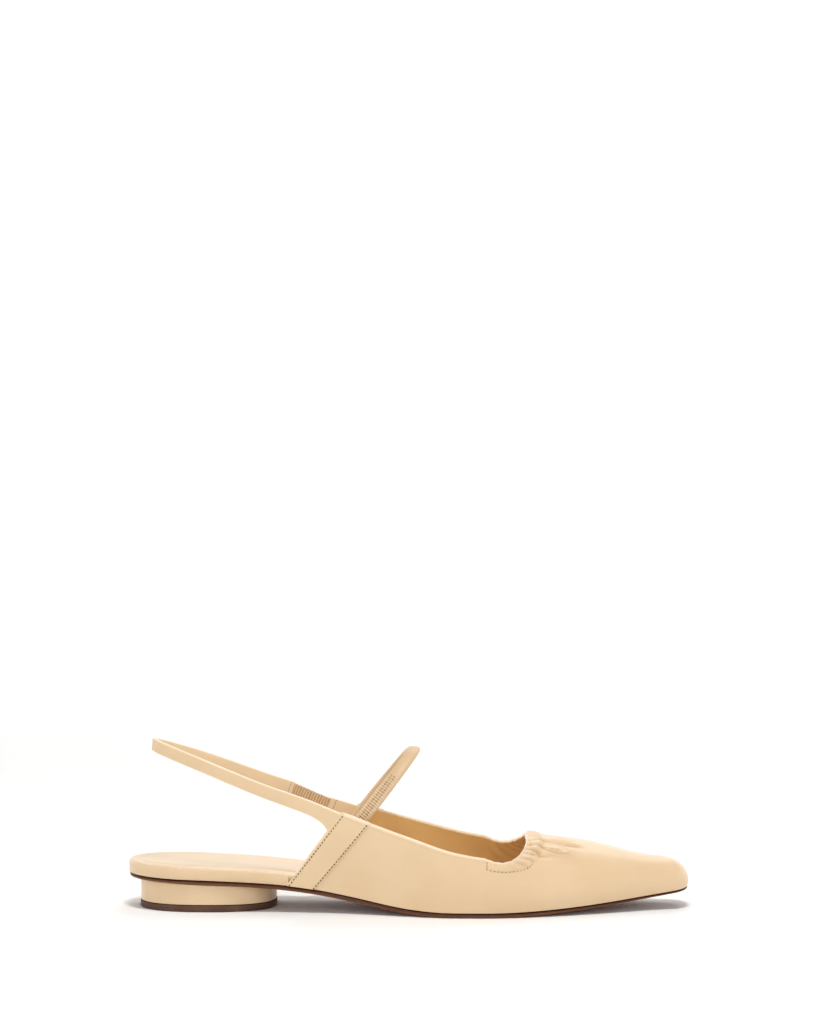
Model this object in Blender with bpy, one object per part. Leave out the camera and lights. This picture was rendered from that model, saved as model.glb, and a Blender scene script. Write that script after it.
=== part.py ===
"""Women's sling back flat, right foot, built as separate solids in metres with +Z up.

The toe points along +X and the outer (lateral) side of the foot faces -Y. The origin lies on the
ground under the middle of the shoe. The upper, the insole and the straps are all cut from one
last-shaped surface, which is worked out from the named sizes and the short tables below.
"""

import math
from collections import namedtuple

import bmesh
import bpy
import numpy as np

MM = 0.001

# Overall sizes of the last and the sole
LENGTH = 265.0 * MM            # outsole, heel end to toe end
BALL_WIDTH = 75.0 * MM         # feather line, across the ball
SEAT_WIDTH = 52.5 * MM         # feather line, across the heel seat
WAIST_WIDTH = 47.0 * MM        # feather line, across the waist
TOE_WIDTH = 24.0 * MM          # feather line, where the snipped toe is rounded off
HEEL_ROUND = 30.0 * MM         # length of the rounded heel end of the outline
TOE_ROUND = 8.0 * MM           # length of the rounded toe end of the outline
HEEL_RISE = 14.4 * MM          # outsole underside above the ground at the heel end
TOE_SPRING = 8.8 * MM          # outsole underside above the ground at the toe end
BALL_REAR = 8.0 * MM           # where the flat tread starts, ahead of the middle of the shoe
BALL_FRONT = 36.0 * MM         # where the flat tread ends and the toe spring starts
INSTEP_HEIGHT = 76.0 * MM      # crown of the last under the instep strap
VAMP_HEIGHT = 33.4 * MM        # crown of the last at the throat
BULGE = 7.5 * MM               # how far the fullest wall would stand beyond the feather line

# Walls, layers and clearances
UPPER_WALL = 1.6 * MM          # leather with its lining
BAND_STEP = 0.8 * MM           # how far the quarter band stands above the vamp
CASING_STEP = 1.7 * MM         # how far the gathered casing stands above the vamp
CASING_WIDTH = 8.0 * MM        # throat casing, edge to stitch line
CLEARANCE = 0.3 * MM           # gap between pieces that touch
OUTSOLE_SEAT = 1.6 * MM        # outsole thickness under the heel end
OUTSOLE_FOREPART = 2.1 * MM    # outsole thickness at the waist and the tread
OUTSOLE_TOE = 0.9 * MM         # outsole thickness at the toe end, where its edge is bevelled up
WELT_GROOVE = 0.3 * MM         # depth and height of the dark groove above the sole edge
EDGE_CHAMFER = 0.4 * MM        # lower edge of the outsole
SEAT_THICKNESS = 6.0 * MM      # wrapped heel seat band
INSOLE_THICKNESS = 3.4 * MM    # insole from the ball forwards
SEAT_OVERHANG = 0.35 * MM      # how far the wrapped band stands beyond the outsole
INSOLE_EDGE = 1.6 * MM         # rounding of the insole's upper edge
INSOLE_FIT = 1.1 * MM          # insole edge to the inside of the leaning wall
SEAT_STEP = 0.8 * MM           # clear of the quarters, where the wrapped band ends behind them

# Heel
HEEL_LENGTH = 64.4 * MM
HEEL_WIDTH = 50.0 * MM
HEEL_SETBACK = 5.4 * MM        # heel back edge, ahead of the outsole's heel end
HEEL_SQUARENESS = 2.35         # exponent of the heel's oval plan
TOP_PIECE = 3.1 * MM           # rubber top piece, thickness
TOP_PIECE_OVERHANG = 0.25 * MM
TOP_PIECE_CHAMFER = 0.4 * MM

# Quarters and opening, measured from the middle of the shoe and above the ground
BORDER_FOOT = -56.1 * MM       # outer quarter's rear edge at the feather line
BORDER_HEAD = -29.9 * MM       # outer quarter's rear edge at the topline
INNER_SHIFT = 5.5 * MM         # how much further forward the inner quarter's rear edge stands
CORNER_HEIGHT = 38.6 * MM      # where the strap leaves the quarter's rear edge
TOPLINE_HEIGHT = 47.0 * MM     # topline at the head of the outer quarter's rear edge
THROAT_FRONT = 56.3 * MM       # front edge of the opening
THROAT_CORNER = 36.5 * MM      # where the opening starts to turn across the vamp
BAND_REAR_FOOT = -55.0 * MM    # rear seam of the quarter band at the feather line
BAND_REAR_HEAD = -28.3 * MM    # rear seam of the quarter band at the topline
BAND_FRONT_FOOT = -44.0 * MM   # front seam of the quarter band at the feather line
BAND_FRONT_HEAD = -13.4 * MM   # front seam of the quarter band at the topline
SEAM_SLOPE = 0.8 * MM          # width of the slope at each edge of the quarter band
CORNER_LEAN = 1.5 * MM         # feather line end of the column under the throat corner, ahead of it
THROAT_LEAN = 7.0 * MM         # feather line end of the column under the throat, ahead of it
NOSE_LENGTH = 15.5 * MM        # toe end to where the crown line stops
FAN_LENGTH = 42.5 * MM         # toe end to where the sections start to fan out round the toe

# Straps
SLING_REACH = 120.6 * MM       # outer face of the sling at the heel, behind the middle of the shoe
SLING_HEIGHT = 79.6 * MM       # upper edge of the sling at the heel
SLING_SPREAD = 24.8 * MM       # half distance between the sling's two strands at the quarters
SLING_WIDTH = 6.0 * MM
SLING_THICKNESS = 1.9 * MM
ROOT_LENGTH = 14.5 * MM        # flared root of the outer strand, from the quarter's head
FLARE_BACK = 1.5 * MM          # the curve under a flared root starts this far behind the rear edge
FLARE_RISE = 5.5 * MM          # and is drawn up by this much towards the strap
ELASTIC_WIDTH = 5.4 * MM
ELASTIC_THICKNESS = 1.6 * MM
ELASTIC_REAR = -54.7 * MM      # where the leather strap ends and the elastic starts
ELASTIC_FRONT = -37.9 * MM     # where the elastic ends in the inner tab
INSTEP_WIDTH = 6.4 * MM
INSTEP_THICKNESS = 3.0 * MM
INSTEP_APEX = 74.6 * MM        # middle of the instep strap's section, at its highest
INSTEP_LEAN = 24.0 * MM        # how far its highest point lies ahead of its feet
INSTEP_FOOT = -21.5 * MM       # feet of the strap, from the middle of the shoe
INSTEP_TUCK = 6.0 * MM         # length of strap that runs down inside each quarter
INSTEP_SEAT = 1.2 * MM         # strap to the inside of the curved wall

# Places and exponents that the curves share
HEEL_END = -LENGTH / 2
TOE_END = HEEL_END + LENGTH
CROWN_END = TOE_END - NOSE_LENGTH
CROWN_TURN = TOE_END - FAN_LENGTH
SMOOTH = 3.0 * MM              # reach of the smoothing along each table's curve
HEEL_POWER = 2.1               # exponent of the rounded heel end
TOE_POWER = 2.5                # exponent of the rounded toe end
SPRING_POWER = 1.7             # how late the toe spring rises
THROAT_POWER = 2.5             # exponent of the throat's rounded corners
ARCH_POWER = 0.9               # exponent of the instep strap's arch, 1 for a plain half circle
PAD_POWER = 0.8                # exponent of the instep strap's section, 1 for an ellipse
CASING_START = 0.25            # share of the casing's height where it starts at the throat corner
SLING_CENTRE = 0.35            # share of the seat's sideways offset that the sling's middle follows
SLING_TURN = 0.86              # share of the way back where the sling turns round the heel
UNDERCUT = math.radians(52)    # how far up the section the wall turns under

# Stations along the shoe
HEEL_STEPS = 12
SOLE_STEPS = 43
TOE_STEPS = 8
SEAT_STEPS = 7
INSOLE_STEPS = 29
INSOLE_TOE_STEPS = 6

# Outline of the sole at the feather line. at: share of the length; size: the width it follows;
# lateral and medial: shares of that width on either side of the middle line
Outline = namedtuple("Outline", "at size lateral medial")
OUTLINE = (
    Outline(0.00, SEAT_WIDTH, 0.425, 0.555),
    Outline(0.12, SEAT_WIDTH, 0.440, 0.560),
    Outline(0.20, SEAT_WIDTH, 0.442, 0.540),
    Outline(0.30, SEAT_WIDTH, 0.445, 0.470),
    Outline(0.40, WAIST_WIDTH, 0.556, 0.462),
    Outline(0.50, BALL_WIDTH, 0.440, 0.335),
    Outline(0.58, BALL_WIDTH, 0.498, 0.425),
    Outline(0.64, BALL_WIDTH, 0.500, 0.484),
    Outline(0.70, BALL_WIDTH, 0.468, 0.492),
    Outline(0.78, BALL_WIDTH, 0.384, 0.448),
    Outline(0.86, BALL_WIDTH, 0.268, 0.372),
    Outline(0.93, TOE_WIDTH, 0.490, 0.900),
    Outline(1.00, TOE_WIDTH, 0.250, 0.750),
)

# Sections of the last. at: share of the length; lateral and medial: shares of BULGE;
# square: exponent of the section's side, 1 for an ellipse and less for a fuller wall
Section = namedtuple("Section", "at lateral medial square")
SECTIONS = (
    Section(0.20, 0.36, 0.48, 0.55),
    Section(0.30, 0.48, 0.88, 0.55),
    Section(0.40, 0.64, 1.32, 0.62),
    Section(0.50, 0.58, 1.40, 0.75),
    Section(0.58, 0.70, 1.02, 0.84),
    Section(0.66, 0.76, 0.78, 0.92),
    Section(0.76, 0.70, 0.66, 0.95),
    Section(0.88, 0.45, 0.45, 0.88),
    Section(1.00, 0.22, 0.22, 0.78),
)

# Crown of the last along its middle. at: share of the length; size: the height it follows
Crown = namedtuple("Crown", "at size height")
CROWN = (
    Crown(0.20, INSTEP_HEIGHT, 1.340),
    Crown(0.40, INSTEP_HEIGHT, 1.190),
    Crown(0.50, INSTEP_HEIGHT, 1.000),
    Crown(0.58, INSTEP_HEIGHT, 0.780),
    Crown(0.66, INSTEP_HEIGHT, 0.560),
    Crown(0.715, VAMP_HEIGHT, 1.030),
    Crown(0.745, VAMP_HEIGHT, 0.985),
    Crown(0.780, VAMP_HEIGHT, 0.972),
    Crown(0.815, VAMP_HEIGHT, 0.936),
    Crown(0.850, VAMP_HEIGHT, 0.872),
    Crown(0.885, VAMP_HEIGHT, 0.795),
    Crown(0.915, VAMP_HEIGHT, 0.733),
    Crown(0.950, VAMP_HEIGHT, 0.690),
    Crown(1.000, VAMP_HEIGHT, 0.662),
)

# Underside of the sole behind the tread. at: share of the way from the tread to the heel end
Shank = namedtuple("Shank", "at rise")
SHANK = (
    Shank(0.00, 0.00), Shank(0.12, 0.165), Shank(0.22, 0.375), Shank(0.32, 0.550),
    Shank(0.42, 0.690), Shank(0.53, 0.795), Shank(0.76, 0.910), Shank(1.00, 1.00),
)

# Topline heights, as shares of TOPLINE_HEIGHT, at shares of the way from the quarter's head
# to the throat corner
Topline = namedtuple("Topline", "at outer inner")
TOPLINE = (
    Topline(0.00, 1.000, 0.966),
    Topline(0.15, 0.927, 0.928),
    Topline(0.38, 0.816, 0.838),
    Topline(0.58, 0.724, 0.766),
    Topline(0.73, 0.651, 0.704),
    Topline(0.88, 0.602, 0.648),
    Topline(1.00, 0.576, 0.620),
)

# The sling, from the quarters to the heel. at: share of the way back; spread, outer and inner
# (upper edge of each strand) and width: shares of SLING_SPREAD, SLING_HEIGHT and SLING_WIDTH
Sling = namedtuple("Sling", "at spread outer inner width")
SLING = (
    Sling(0.00, 1.060, 0.598, 0.578, 1.30),
    Sling(0.07, 1.035, 0.623, 0.603, 1.18),
    Sling(0.15, 0.990, 0.658, 0.640, 1.12),
    Sling(0.27, 0.930, 0.705, 0.702, 1.09),
    Sling(0.41, 0.860, 0.757, 0.757, 1.05),
    Sling(0.64, 0.710, 0.855, 0.855, 1.00),
    Sling(0.79, 0.520, 0.918, 0.918, 1.00),
    Sling(0.86, 0.405, 0.946, 0.946, 1.00),
    Sling(0.93, 0.270, 0.973, 0.973, 1.00),
    Sling(0.98, 0.125, 0.992, 0.992, 1.00),
    Sling(1.00, 0.000, 1.000, 1.000, 1.00),
)

# Rounded upper edge of the insole. level: share of its thickness; inset: share of INSOLE_EDGE
Level = namedtuple("Level", "level inset")
INSOLE_LEVELS = (Level(0.0, 0.0), Level(0.78, 0.0), Level(0.94, 0.35), Level(1.0, 1.0))

# Section of a flat strap. across: share of its width; stand: share of its thickness
Corner = namedtuple("Corner", "across stand")
STRAP_SECTION = (
    Corner(0.0, 0.30), Corner(0.10, 0.5), Corner(0.90, 0.5), Corner(1.0, 0.30),
    Corner(1.0, -0.30), Corner(0.90, -0.5), Corner(0.10, -0.5), Corner(0.0, -0.30),
)

LEATHER = ("butter leather", (0.86, 0.68, 0.46), 0.42)
SOLE_LEATHER = ("sole leather", (0.22, 0.09, 0.045), 0.5)
RUBBER = ("brown rubber", (0.11, 0.065, 0.04), 0.7)
ELASTIC = ("covered elastic", (0.66, 0.42, 0.24), 0.75)


def clear_scene():
    """Empties the scene before the shoe is built."""
    for thing in list(bpy.data.objects):
        bpy.data.objects.remove(thing, do_unlink=True)


def track(places, values, smoothing=0.0):
    """A smooth curve through a table's rows, as a function of place."""
    places = np.asarray(places, float)
    values = np.asarray(values, float)
    steps = np.diff(places)
    slopes = np.diff(values) / steps
    tangents = np.zeros_like(values)
    tangents[0], tangents[-1] = slopes[0], slopes[-1]
    for row in range(1, len(places) - 1):
        before, after = slopes[row - 1], slopes[row]
        if before * after > 0.0:
            near, far = 2 * steps[row] + steps[row - 1], steps[row] + 2 * steps[row - 1]
            tangents[row] = (near + far) / (near / before + far / after)

    def curve(place):
        row = np.clip(np.searchsorted(places, place) - 1, 0, len(steps) - 1)
        inside = np.clip(place, places[0], places[-1])
        share = (inside - places[row]) / steps[row]
        rest = 1.0 - share
        start = rest * rest * (1 + 2 * share) * values[row]
        end = share * share * (3 - 2 * share) * values[row + 1]
        pull = share * rest * steps[row] * (rest * tangents[row] - share * tangents[row + 1])
        value = start + end + pull
        beyond = np.where(place < places[0], tangents[0], tangents[-1])
        return value + beyond * (np.asarray(place) - inside)

    def eased(place):
        place = np.asarray(place, float)
        taps = ((-2, 0.10), (-1, 0.24), (0, 0.32), (1, 0.24), (2, 0.10))
        return sum(weight * curve(place + step * smoothing) for step, weight in taps)

    return eased


def column(table, name, size=None):
    """A table's column as lengths: its shares times the size that each row, or the table, follows."""
    return [getattr(row, name) * (row.size if size is None else size) for row in table]


def places(table, start=HEEL_END, reach=LENGTH):
    """The places of a table's rows along the shoe."""
    return [start + row.at * reach for row in table]


lateral_line = track(places(OUTLINE), column(OUTLINE, "lateral"), SMOOTH)
medial_line = track(places(OUTLINE), column(OUTLINE, "medial"), SMOOTH)
bulge_lateral = track(places(SECTIONS), column(SECTIONS, "lateral", BULGE), SMOOTH)
bulge_medial = track(places(SECTIONS), column(SECTIONS, "medial", BULGE), SMOOTH)
squareness = track(places(SECTIONS), column(SECTIONS, "square", 1.0), SMOOTH)
crown_height = track(places(CROWN), column(CROWN, "height"), SMOOTH)
shank_rise = track(places(SHANK, BALL_REAR, HEEL_END - BALL_REAR)[::-1],
                   column(SHANK, "rise", HEEL_RISE)[::-1], SMOOTH)
topline_outer = track(places(TOPLINE, BORDER_HEAD, THROAT_CORNER - BORDER_HEAD),
                      column(TOPLINE, "outer", TOPLINE_HEIGHT), SMOOTH)
topline_inner = track(places(TOPLINE, BORDER_HEAD, THROAT_CORNER - BORDER_HEAD),
                      column(TOPLINE, "inner", TOPLINE_HEIGHT), SMOOTH)
sling_spread = track(places(SLING, 0.0, 1.0), column(SLING, "spread", SLING_SPREAD))
sling_outer = track(places(SLING, 0.0, 1.0), column(SLING, "outer", SLING_HEIGHT))
sling_inner = track(places(SLING, 0.0, 1.0), column(SLING, "inner", SLING_HEIGHT))
sling_width = track(places(SLING, 0.0, 1.0), column(SLING, "width", SLING_WIDTH))


def sole_under(x):
    """Height of the outsole's underside above the ground."""
    ahead = np.clip((x - BALL_FRONT) / (TOE_END - BALL_FRONT), 0.0, None)
    spring = ahead ** SPRING_POWER * TOE_SPRING
    return np.where(x < (BALL_REAR + BALL_FRONT) / 2, np.maximum(shank_rise(x), 0.0), spring)


def sole_thickness(x):
    """Thickness of the outsole, thinner at the seat and towards the toe end."""
    seat = np.clip((x - HEEL_END) / (BORDER_FOOT - HEEL_END), 0.0, 1.0)
    toe = np.clip((x - BALL_FRONT) / (TOE_END - TOE_ROUND - BALL_FRONT), 0.0, 1.0)
    return OUTSOLE_SEAT + (OUTSOLE_FOREPART - OUTSOLE_SEAT) * seat - (OUTSOLE_FOREPART - OUTSOLE_TOE) * toe


def feather_height(x):
    """Height of the outsole's top, which the upper and the insole stand on."""
    return sole_under(x) + sole_thickness(x)


def round_end(share, length, power):
    """A point of a rounded end: how far along it, and the share of the width left there."""
    turn = share * math.pi / 2
    reach = ((np.abs(np.sin(turn)) / length) ** power + np.abs(np.cos(turn)) ** power) ** (-1 / power)
    return reach * np.sin(turn), reach * np.cos(turn)


def foot_line(q, side):
    """Feather line at station q, which equals x except round the two ends."""
    q = np.asarray(q, float)
    toe_share = np.clip((q - TOE_END + TOE_ROUND) / TOE_ROUND, 0, 1)
    toe_along, toe_left = round_end(toe_share, TOE_ROUND / TOE_WIDTH * 2, TOE_POWER)
    heel_share = np.clip((HEEL_END + HEEL_ROUND - q) / HEEL_ROUND, 0, 1)
    heel_along, heel_left = round_end(heel_share, HEEL_ROUND / SEAT_WIDTH * 2, HEEL_POWER)
    x = np.where(q > TOE_END - TOE_ROUND, TOE_END - TOE_ROUND + toe_along * TOE_WIDTH / 2, q)
    x = np.where(q < HEEL_END + HEEL_ROUND, HEEL_END + HEEL_ROUND - heel_along * SEAT_WIDTH / 2, x)
    middle = (medial_line(x) - lateral_line(x)) / 2
    half = (medial_line(x) + lateral_line(x)) / 2
    return x, middle + side * half * toe_left * heel_left


def foot_normal(q, side):
    """Outward direction of the feather line in plan."""
    step = 0.05 * MM
    ahead = foot_line(np.minimum(np.asarray(q, float) + step, TOE_END), side)
    behind = foot_line(np.maximum(np.asarray(q, float) - step, HEEL_END), side)
    along_x, along_y = ahead[0] - behind[0], ahead[1] - behind[1]
    size = np.maximum(np.hypot(along_x, along_y), 1e-12)
    return -side * along_y / size, side * along_x / size


def crown_place(q):
    """Where the section of station q meets the crown line."""
    share = np.clip((q - CROWN_TURN) / (TOE_END - CROWN_TURN), 0.0, 1.0)
    full = TOE_END - CROWN_TURN
    lost = full - (CROWN_END - CROWN_TURN)
    return np.where(q < CROWN_TURN, q, CROWN_TURN + full * share - lost * share * share)


def last_point(q, angle, side):
    """A point of the last: angle 0 is the feather line, a quarter turn is the crown."""
    q, angle = np.broadcast_arrays(np.asarray(q, float), np.asarray(angle, float))
    foot_x, foot_y = foot_line(q, side)
    out_x, out_y = foot_normal(q, side)
    top_x = crown_place(q)
    top_y = (medial_line(top_x) - lateral_line(top_x)) / 2
    bulge = np.where(side > 0, bulge_medial(q), bulge_lateral(q))
    hold = np.cos(angle) ** squareness(q)
    under = bulge * np.clip(1 - angle / UNDERCUT, 0, None) ** 2
    x = top_x + (foot_x + out_x * bulge - top_x) * hold - out_x * under
    y = top_y + (foot_y + out_y * bulge - top_y) * hold - out_y * under
    low = feather_height(foot_x)
    z = low + (crown_height(top_x) - low) * np.sin(angle)
    return np.stack([x, y, z], axis=-1)


def angle_at(q, height, side):
    """The section angle at which station q reaches a height above the ground."""
    low = feather_height(foot_line(q, side)[0])
    share = (height - low) / (crown_height(crown_place(q)) - low)
    return np.arcsin(np.clip(share, 0.0, 1.0))


def border(side):
    """Foot and head of the quarter's rear edge."""
    shift = INNER_SHIFT if side > 0 else 0.0
    return BORDER_FOOT + shift, BORDER_HEAD + shift


def topline_height(q, side):
    """Height of the quarter's topline at a station."""
    return topline_inner(q) if side > 0 else topline_outer(q)


def opening_edge(side, quarter_steps, corner_steps):
    """Top edge of the wall from the quarter's head round to the middle of the throat."""
    head = border(side)[1]
    along = np.linspace(head, THROAT_CORNER, quarter_steps + 1)
    rows = [(q, float(angle_at(q, topline_height(q, side), side))) for q in along]
    start = rows[-1][1]
    for step in range(1, corner_steps + 1):
        reach, left = round_end(step / corner_steps, 1.0, THROAT_POWER)
        rows.append((THROAT_CORNER + (THROAT_FRONT - THROAT_CORNER) * float(reach),
                     math.pi / 2 - (math.pi / 2 - start) * float(left)))
    return rows


def upper_columns(side, quarter_steps=22, corner_steps=12, ridge_steps=20):
    """Foot station, head station and head angle of each column of the wall."""
    foot = border(side)[0]
    edge = opening_edge(side, quarter_steps, corner_steps)
    corner_foot, throat_foot = THROAT_CORNER + CORNER_LEAN, THROAT_FRONT + THROAT_LEAN
    columns = []
    for step, (q, angle) in enumerate(edge):
        if step <= quarter_steps:
            at = foot + (corner_foot - foot) * step / quarter_steps
        else:
            at = corner_foot + (throat_foot - corner_foot) * (step - quarter_steps) / corner_steps
        columns.append((at, q, angle))
    for step in range(1, ridge_steps + 1):
        share = step / ridge_steps
        columns.append((throat_foot + (TOE_END - throat_foot) * share,
                        THROAT_FRONT + (TOE_END - THROAT_FRONT) * share, math.pi / 2))
    return columns


def slanted(foot, head, head_angle, share, side):
    """A point part way up a slanted column, with its station and angle."""
    angle = head_angle * share
    q = foot + (head - foot) * np.sin(angle) / math.sin(head_angle)
    return q, angle


def band_share(q, angle, side):
    """1 inside the diagonal quarter band and 0 outside it, with a short slope at its seams."""
    shift = INNER_SHIFT if side > 0 else 0.0
    height = math.sin(angle) * (crown_height(q) - feather_height(q))
    rise = height / (TOPLINE_HEIGHT - feather_height(BORDER_FOOT))
    rear = BAND_REAR_FOOT + (BAND_REAR_HEAD - BAND_REAR_FOOT) * rise + shift
    front = BAND_FRONT_FOOT + (BAND_FRONT_HEAD - BAND_FRONT_FOOT) * rise + shift
    inside_rear = np.clip((q - rear) / SEAM_SLOPE, 0, 1)
    inside_front = np.clip((front - q) / SEAM_SLOPE, 0, 1)
    return float(inside_rear * inside_front)


def casing_share(point, edge_points):
    """Height of the gathered casing's roll at a point, from its distance to the throat edge."""
    distance = float(np.min(np.linalg.norm(edge_points - point, axis=1)))
    across = np.clip(distance / CASING_WIDTH, 0.0, 1.0)
    started = np.clip((point[0] - THROAT_CORNER) / (THROAT_FRONT - THROAT_CORNER), 0.0, 1.0)
    roll = math.sqrt(max(1.0 - (2 * across - 1) ** 2, 0.0))
    return roll * (CASING_START + (1 - CASING_START) * started) * float(started > 0)


def new_object(name, mesh, finish):
    """Puts a mesh in the scene with a material of its own."""
    piece = bpy.data.objects.new(name, mesh)
    bpy.context.scene.collection.objects.link(piece)
    label, colour, roughness = finish
    material = bpy.data.materials.new(f"{name} {label}")
    material.use_nodes = True
    shader = material.node_tree.nodes["Principled BSDF"]
    shader.inputs["Base Color"].default_value = (*colour, 1.0)
    shader.inputs["Roughness"].default_value = roughness
    shader.inputs["Metallic"].default_value = 0.0
    mesh.materials.append(material)
    mesh.shade_smooth()
    mesh.set_sharp_from_angle(angle=math.radians(40))
    return piece


def close_mesh(name, shape, finish):
    """Turns a closed bmesh into an object with its faces pointing out."""
    bmesh.ops.recalc_face_normals(shape, faces=shape.faces)
    bmesh.ops.triangulate(shape, faces=shape.faces)
    if shape.calc_volume(signed=True) < 0.0:
        bmesh.ops.reverse_faces(shape, faces=shape.faces)
    mesh = bpy.data.meshes.new(name)
    shape.to_mesh(mesh)
    shape.free()
    return new_object(name, mesh, finish)


def skin(shape, loops):
    """Adds rings of points and the faces between each ring and the next."""
    rings = [[shape.verts.new(point) for point in loop] for loop in loops]
    for low, high in zip(rings, rings[1:]):
        count = len(low)
        for step in range(count):
            after = (step + 1) % count
            shape.faces.new((low[step], low[after], high[after], high[step]))
    return rings


def loft(name, loops, finish):
    """A solid skinned through closed loops of equal length, with plain ends."""
    shape = bmesh.new()
    rings = skin(shape, loops)
    shape.faces.new(rings[0][::-1])
    shape.faces.new(rings[-1])
    return close_mesh(name, shape, finish)


def layer(name, loops, stations, finish):
    """A sole-shaped solid whose top and bottom are strips running straight across it."""
    shape = bmesh.new()
    rings = skin(shape, loops)
    count = len(rings[0])
    for ring, turned in ((rings[0], False), (rings[-1], True)):
        for step in range(stations - 1):
            near = [ring[step], ring[step + 1]]
            far = [ring[(count - step - 1) % count], ring[(count - step) % count]]
            corners = list(dict.fromkeys(near + far))
            shape.faces.new(corners[::-1] if turned else corners)
    return close_mesh(name, shape, finish)


def heel_stations():
    """Stations round the heel end."""
    return [HEEL_END + HEEL_ROUND * step / HEEL_STEPS for step in range(HEEL_STEPS)]


def toe_stations(steps):
    """Stations round the toe end."""
    return [TOE_END - TOE_ROUND * (1 - step / steps) for step in range(1, steps + 1)]


def sole_stations():
    """Stations along the sole, closer together round its two ends."""
    middle = list(np.linspace(HEEL_END + HEEL_ROUND, TOE_END - TOE_ROUND, SOLE_STEPS + 1))
    return np.array(heel_stations() + middle + toe_stations(TOE_STEPS))


def plan_loop(inset, height, stations):
    """The sole's outline moved in by an inset, at heights given by a function of x."""
    loop = []
    for side, order in ((-1, stations), (1, stations[::-1])):
        x, y = foot_line(order, side)
        out_x, out_y = foot_normal(order, side)
        x, y = x - out_x * inset, y - out_y * inset
        row = np.stack([x, y, height(x)], axis=-1)
        loop.extend(row if side < 0 else row[1:-1])
    return loop


def outsole():
    """Thin sole in bands that run across it, so its tread stays flat from side to side."""
    stations = sole_stations()
    levels = (
        (EDGE_CHAMFER, sole_under),
        (0.0, lambda x: sole_under(x) + EDGE_CHAMFER),
        (0.0, lambda x: feather_height(x) - WELT_GROOVE),
        (WELT_GROOVE, lambda x: feather_height(x) - WELT_GROOVE),
        (WELT_GROOVE, feather_height),
    )
    loops = [plan_loop(inset, height, stations) for inset, height in levels]
    return layer("outsole", loops, len(stations), SOLE_LEATHER)


def oval(length, width, power, centre_x, height, steps=56):
    """A rounded oval loop; its height is a function of x."""
    loop = []
    for step in range(steps):
        turn = 2 * math.pi * step / steps
        x = abs(math.cos(turn)) ** (2 / power) * math.copysign(length / 2, math.cos(turn))
        y = abs(math.sin(turn)) ** (2 / power) * math.copysign(width / 2, math.sin(turn))
        seat_y = (medial_line(centre_x) - lateral_line(centre_x)) / 2
        loop.append((centre_x + x, float(seat_y) + y, float(height(centre_x + x))))
    return loop


def heel():
    """Oval heel block that fits under the sloping seat, and its rubber top piece."""
    centre = HEEL_END + HEEL_SETBACK + HEEL_LENGTH / 2

    def ring(grow, height):
        return oval(HEEL_LENGTH + 2 * grow, HEEL_WIDTH + 2 * grow, HEEL_SQUARENESS, centre, height)

    block = [
        ring(0.0, lambda x: TOP_PIECE + CLEARANCE),
        ring(0.0, lambda x: sole_under(x) - CLEARANCE),
    ]
    tip = [
        ring(TOP_PIECE_OVERHANG - TOP_PIECE_CHAMFER, lambda x: 0.0),
        ring(TOP_PIECE_OVERHANG, lambda x: TOP_PIECE_CHAMFER),
        ring(TOP_PIECE_OVERHANG, lambda x: TOP_PIECE),
    ]
    loft("heel_block", block, LEATHER)
    loft("top_piece", tip, RUBBER)


def insole_thickness(x):
    """Thickness of the insole, from the wrapped seat to the thin forepart."""
    share = np.clip((x - BORDER_FOOT) / (BALL_REAR - BORDER_FOOT), 0.0, 1.0)
    eased = share * share * (3 - 2 * share)
    return SEAT_THICKNESS + (INSOLE_THICKNESS - SEAT_THICKNESS) * eased


def insole_edge(q, level, side, inset):
    """Edge of the insole at a share of its thickness: a rand at the seat, inside the wall ahead."""
    foot_x, foot_y = foot_line(q, side)
    out_x, out_y = foot_normal(q, side)
    low = float(feather_height(foot_x)) + CLEARANCE
    height = low + float(insole_thickness(foot_x)) * level
    foot, head = border(side)
    if q < foot - SEAT_STEP:
        out = SEAT_OVERHANG - inset
        return foot_x + out_x * out, foot_y + out_y * out, height
    wall = last_point(q, angle_at(q, height, side), side)
    in_by = UPPER_WALL + INSOLE_FIT + inset
    return float(wall[0]) - float(out_x) * in_by, float(wall[1]) - float(out_y) * in_by, height


def insole_stations(side):
    """Stations of the insole's edge, with a step just behind the quarter's rear edge."""
    foot = border(side)[0]
    seat = list(np.linspace(HEEL_END + HEEL_ROUND, foot - SEAT_STEP * 1.8, SEAT_STEPS + 1))
    ahead = list(np.linspace(foot - SEAT_STEP * 0.9, TOE_END - TOE_ROUND, INSOLE_STEPS + 1))
    return heel_stations() + seat + ahead + toe_stations(INSOLE_TOE_STEPS)


def footbed():
    """Insole with the wrapped seat band, one solid of stacked outlines and a flat top."""
    loops = []
    for level, inset in INSOLE_LEVELS:
        near = [insole_edge(q, level, -1, inset * INSOLE_EDGE) for q in insole_stations(-1)]
        far = [insole_edge(q, level, 1, inset * INSOLE_EDGE) for q in insole_stations(1)]
        loops.append(near + far[-2:0:-1])
    return layer("footbed", loops, len(insole_stations(-1)), LEATHER)


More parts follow.
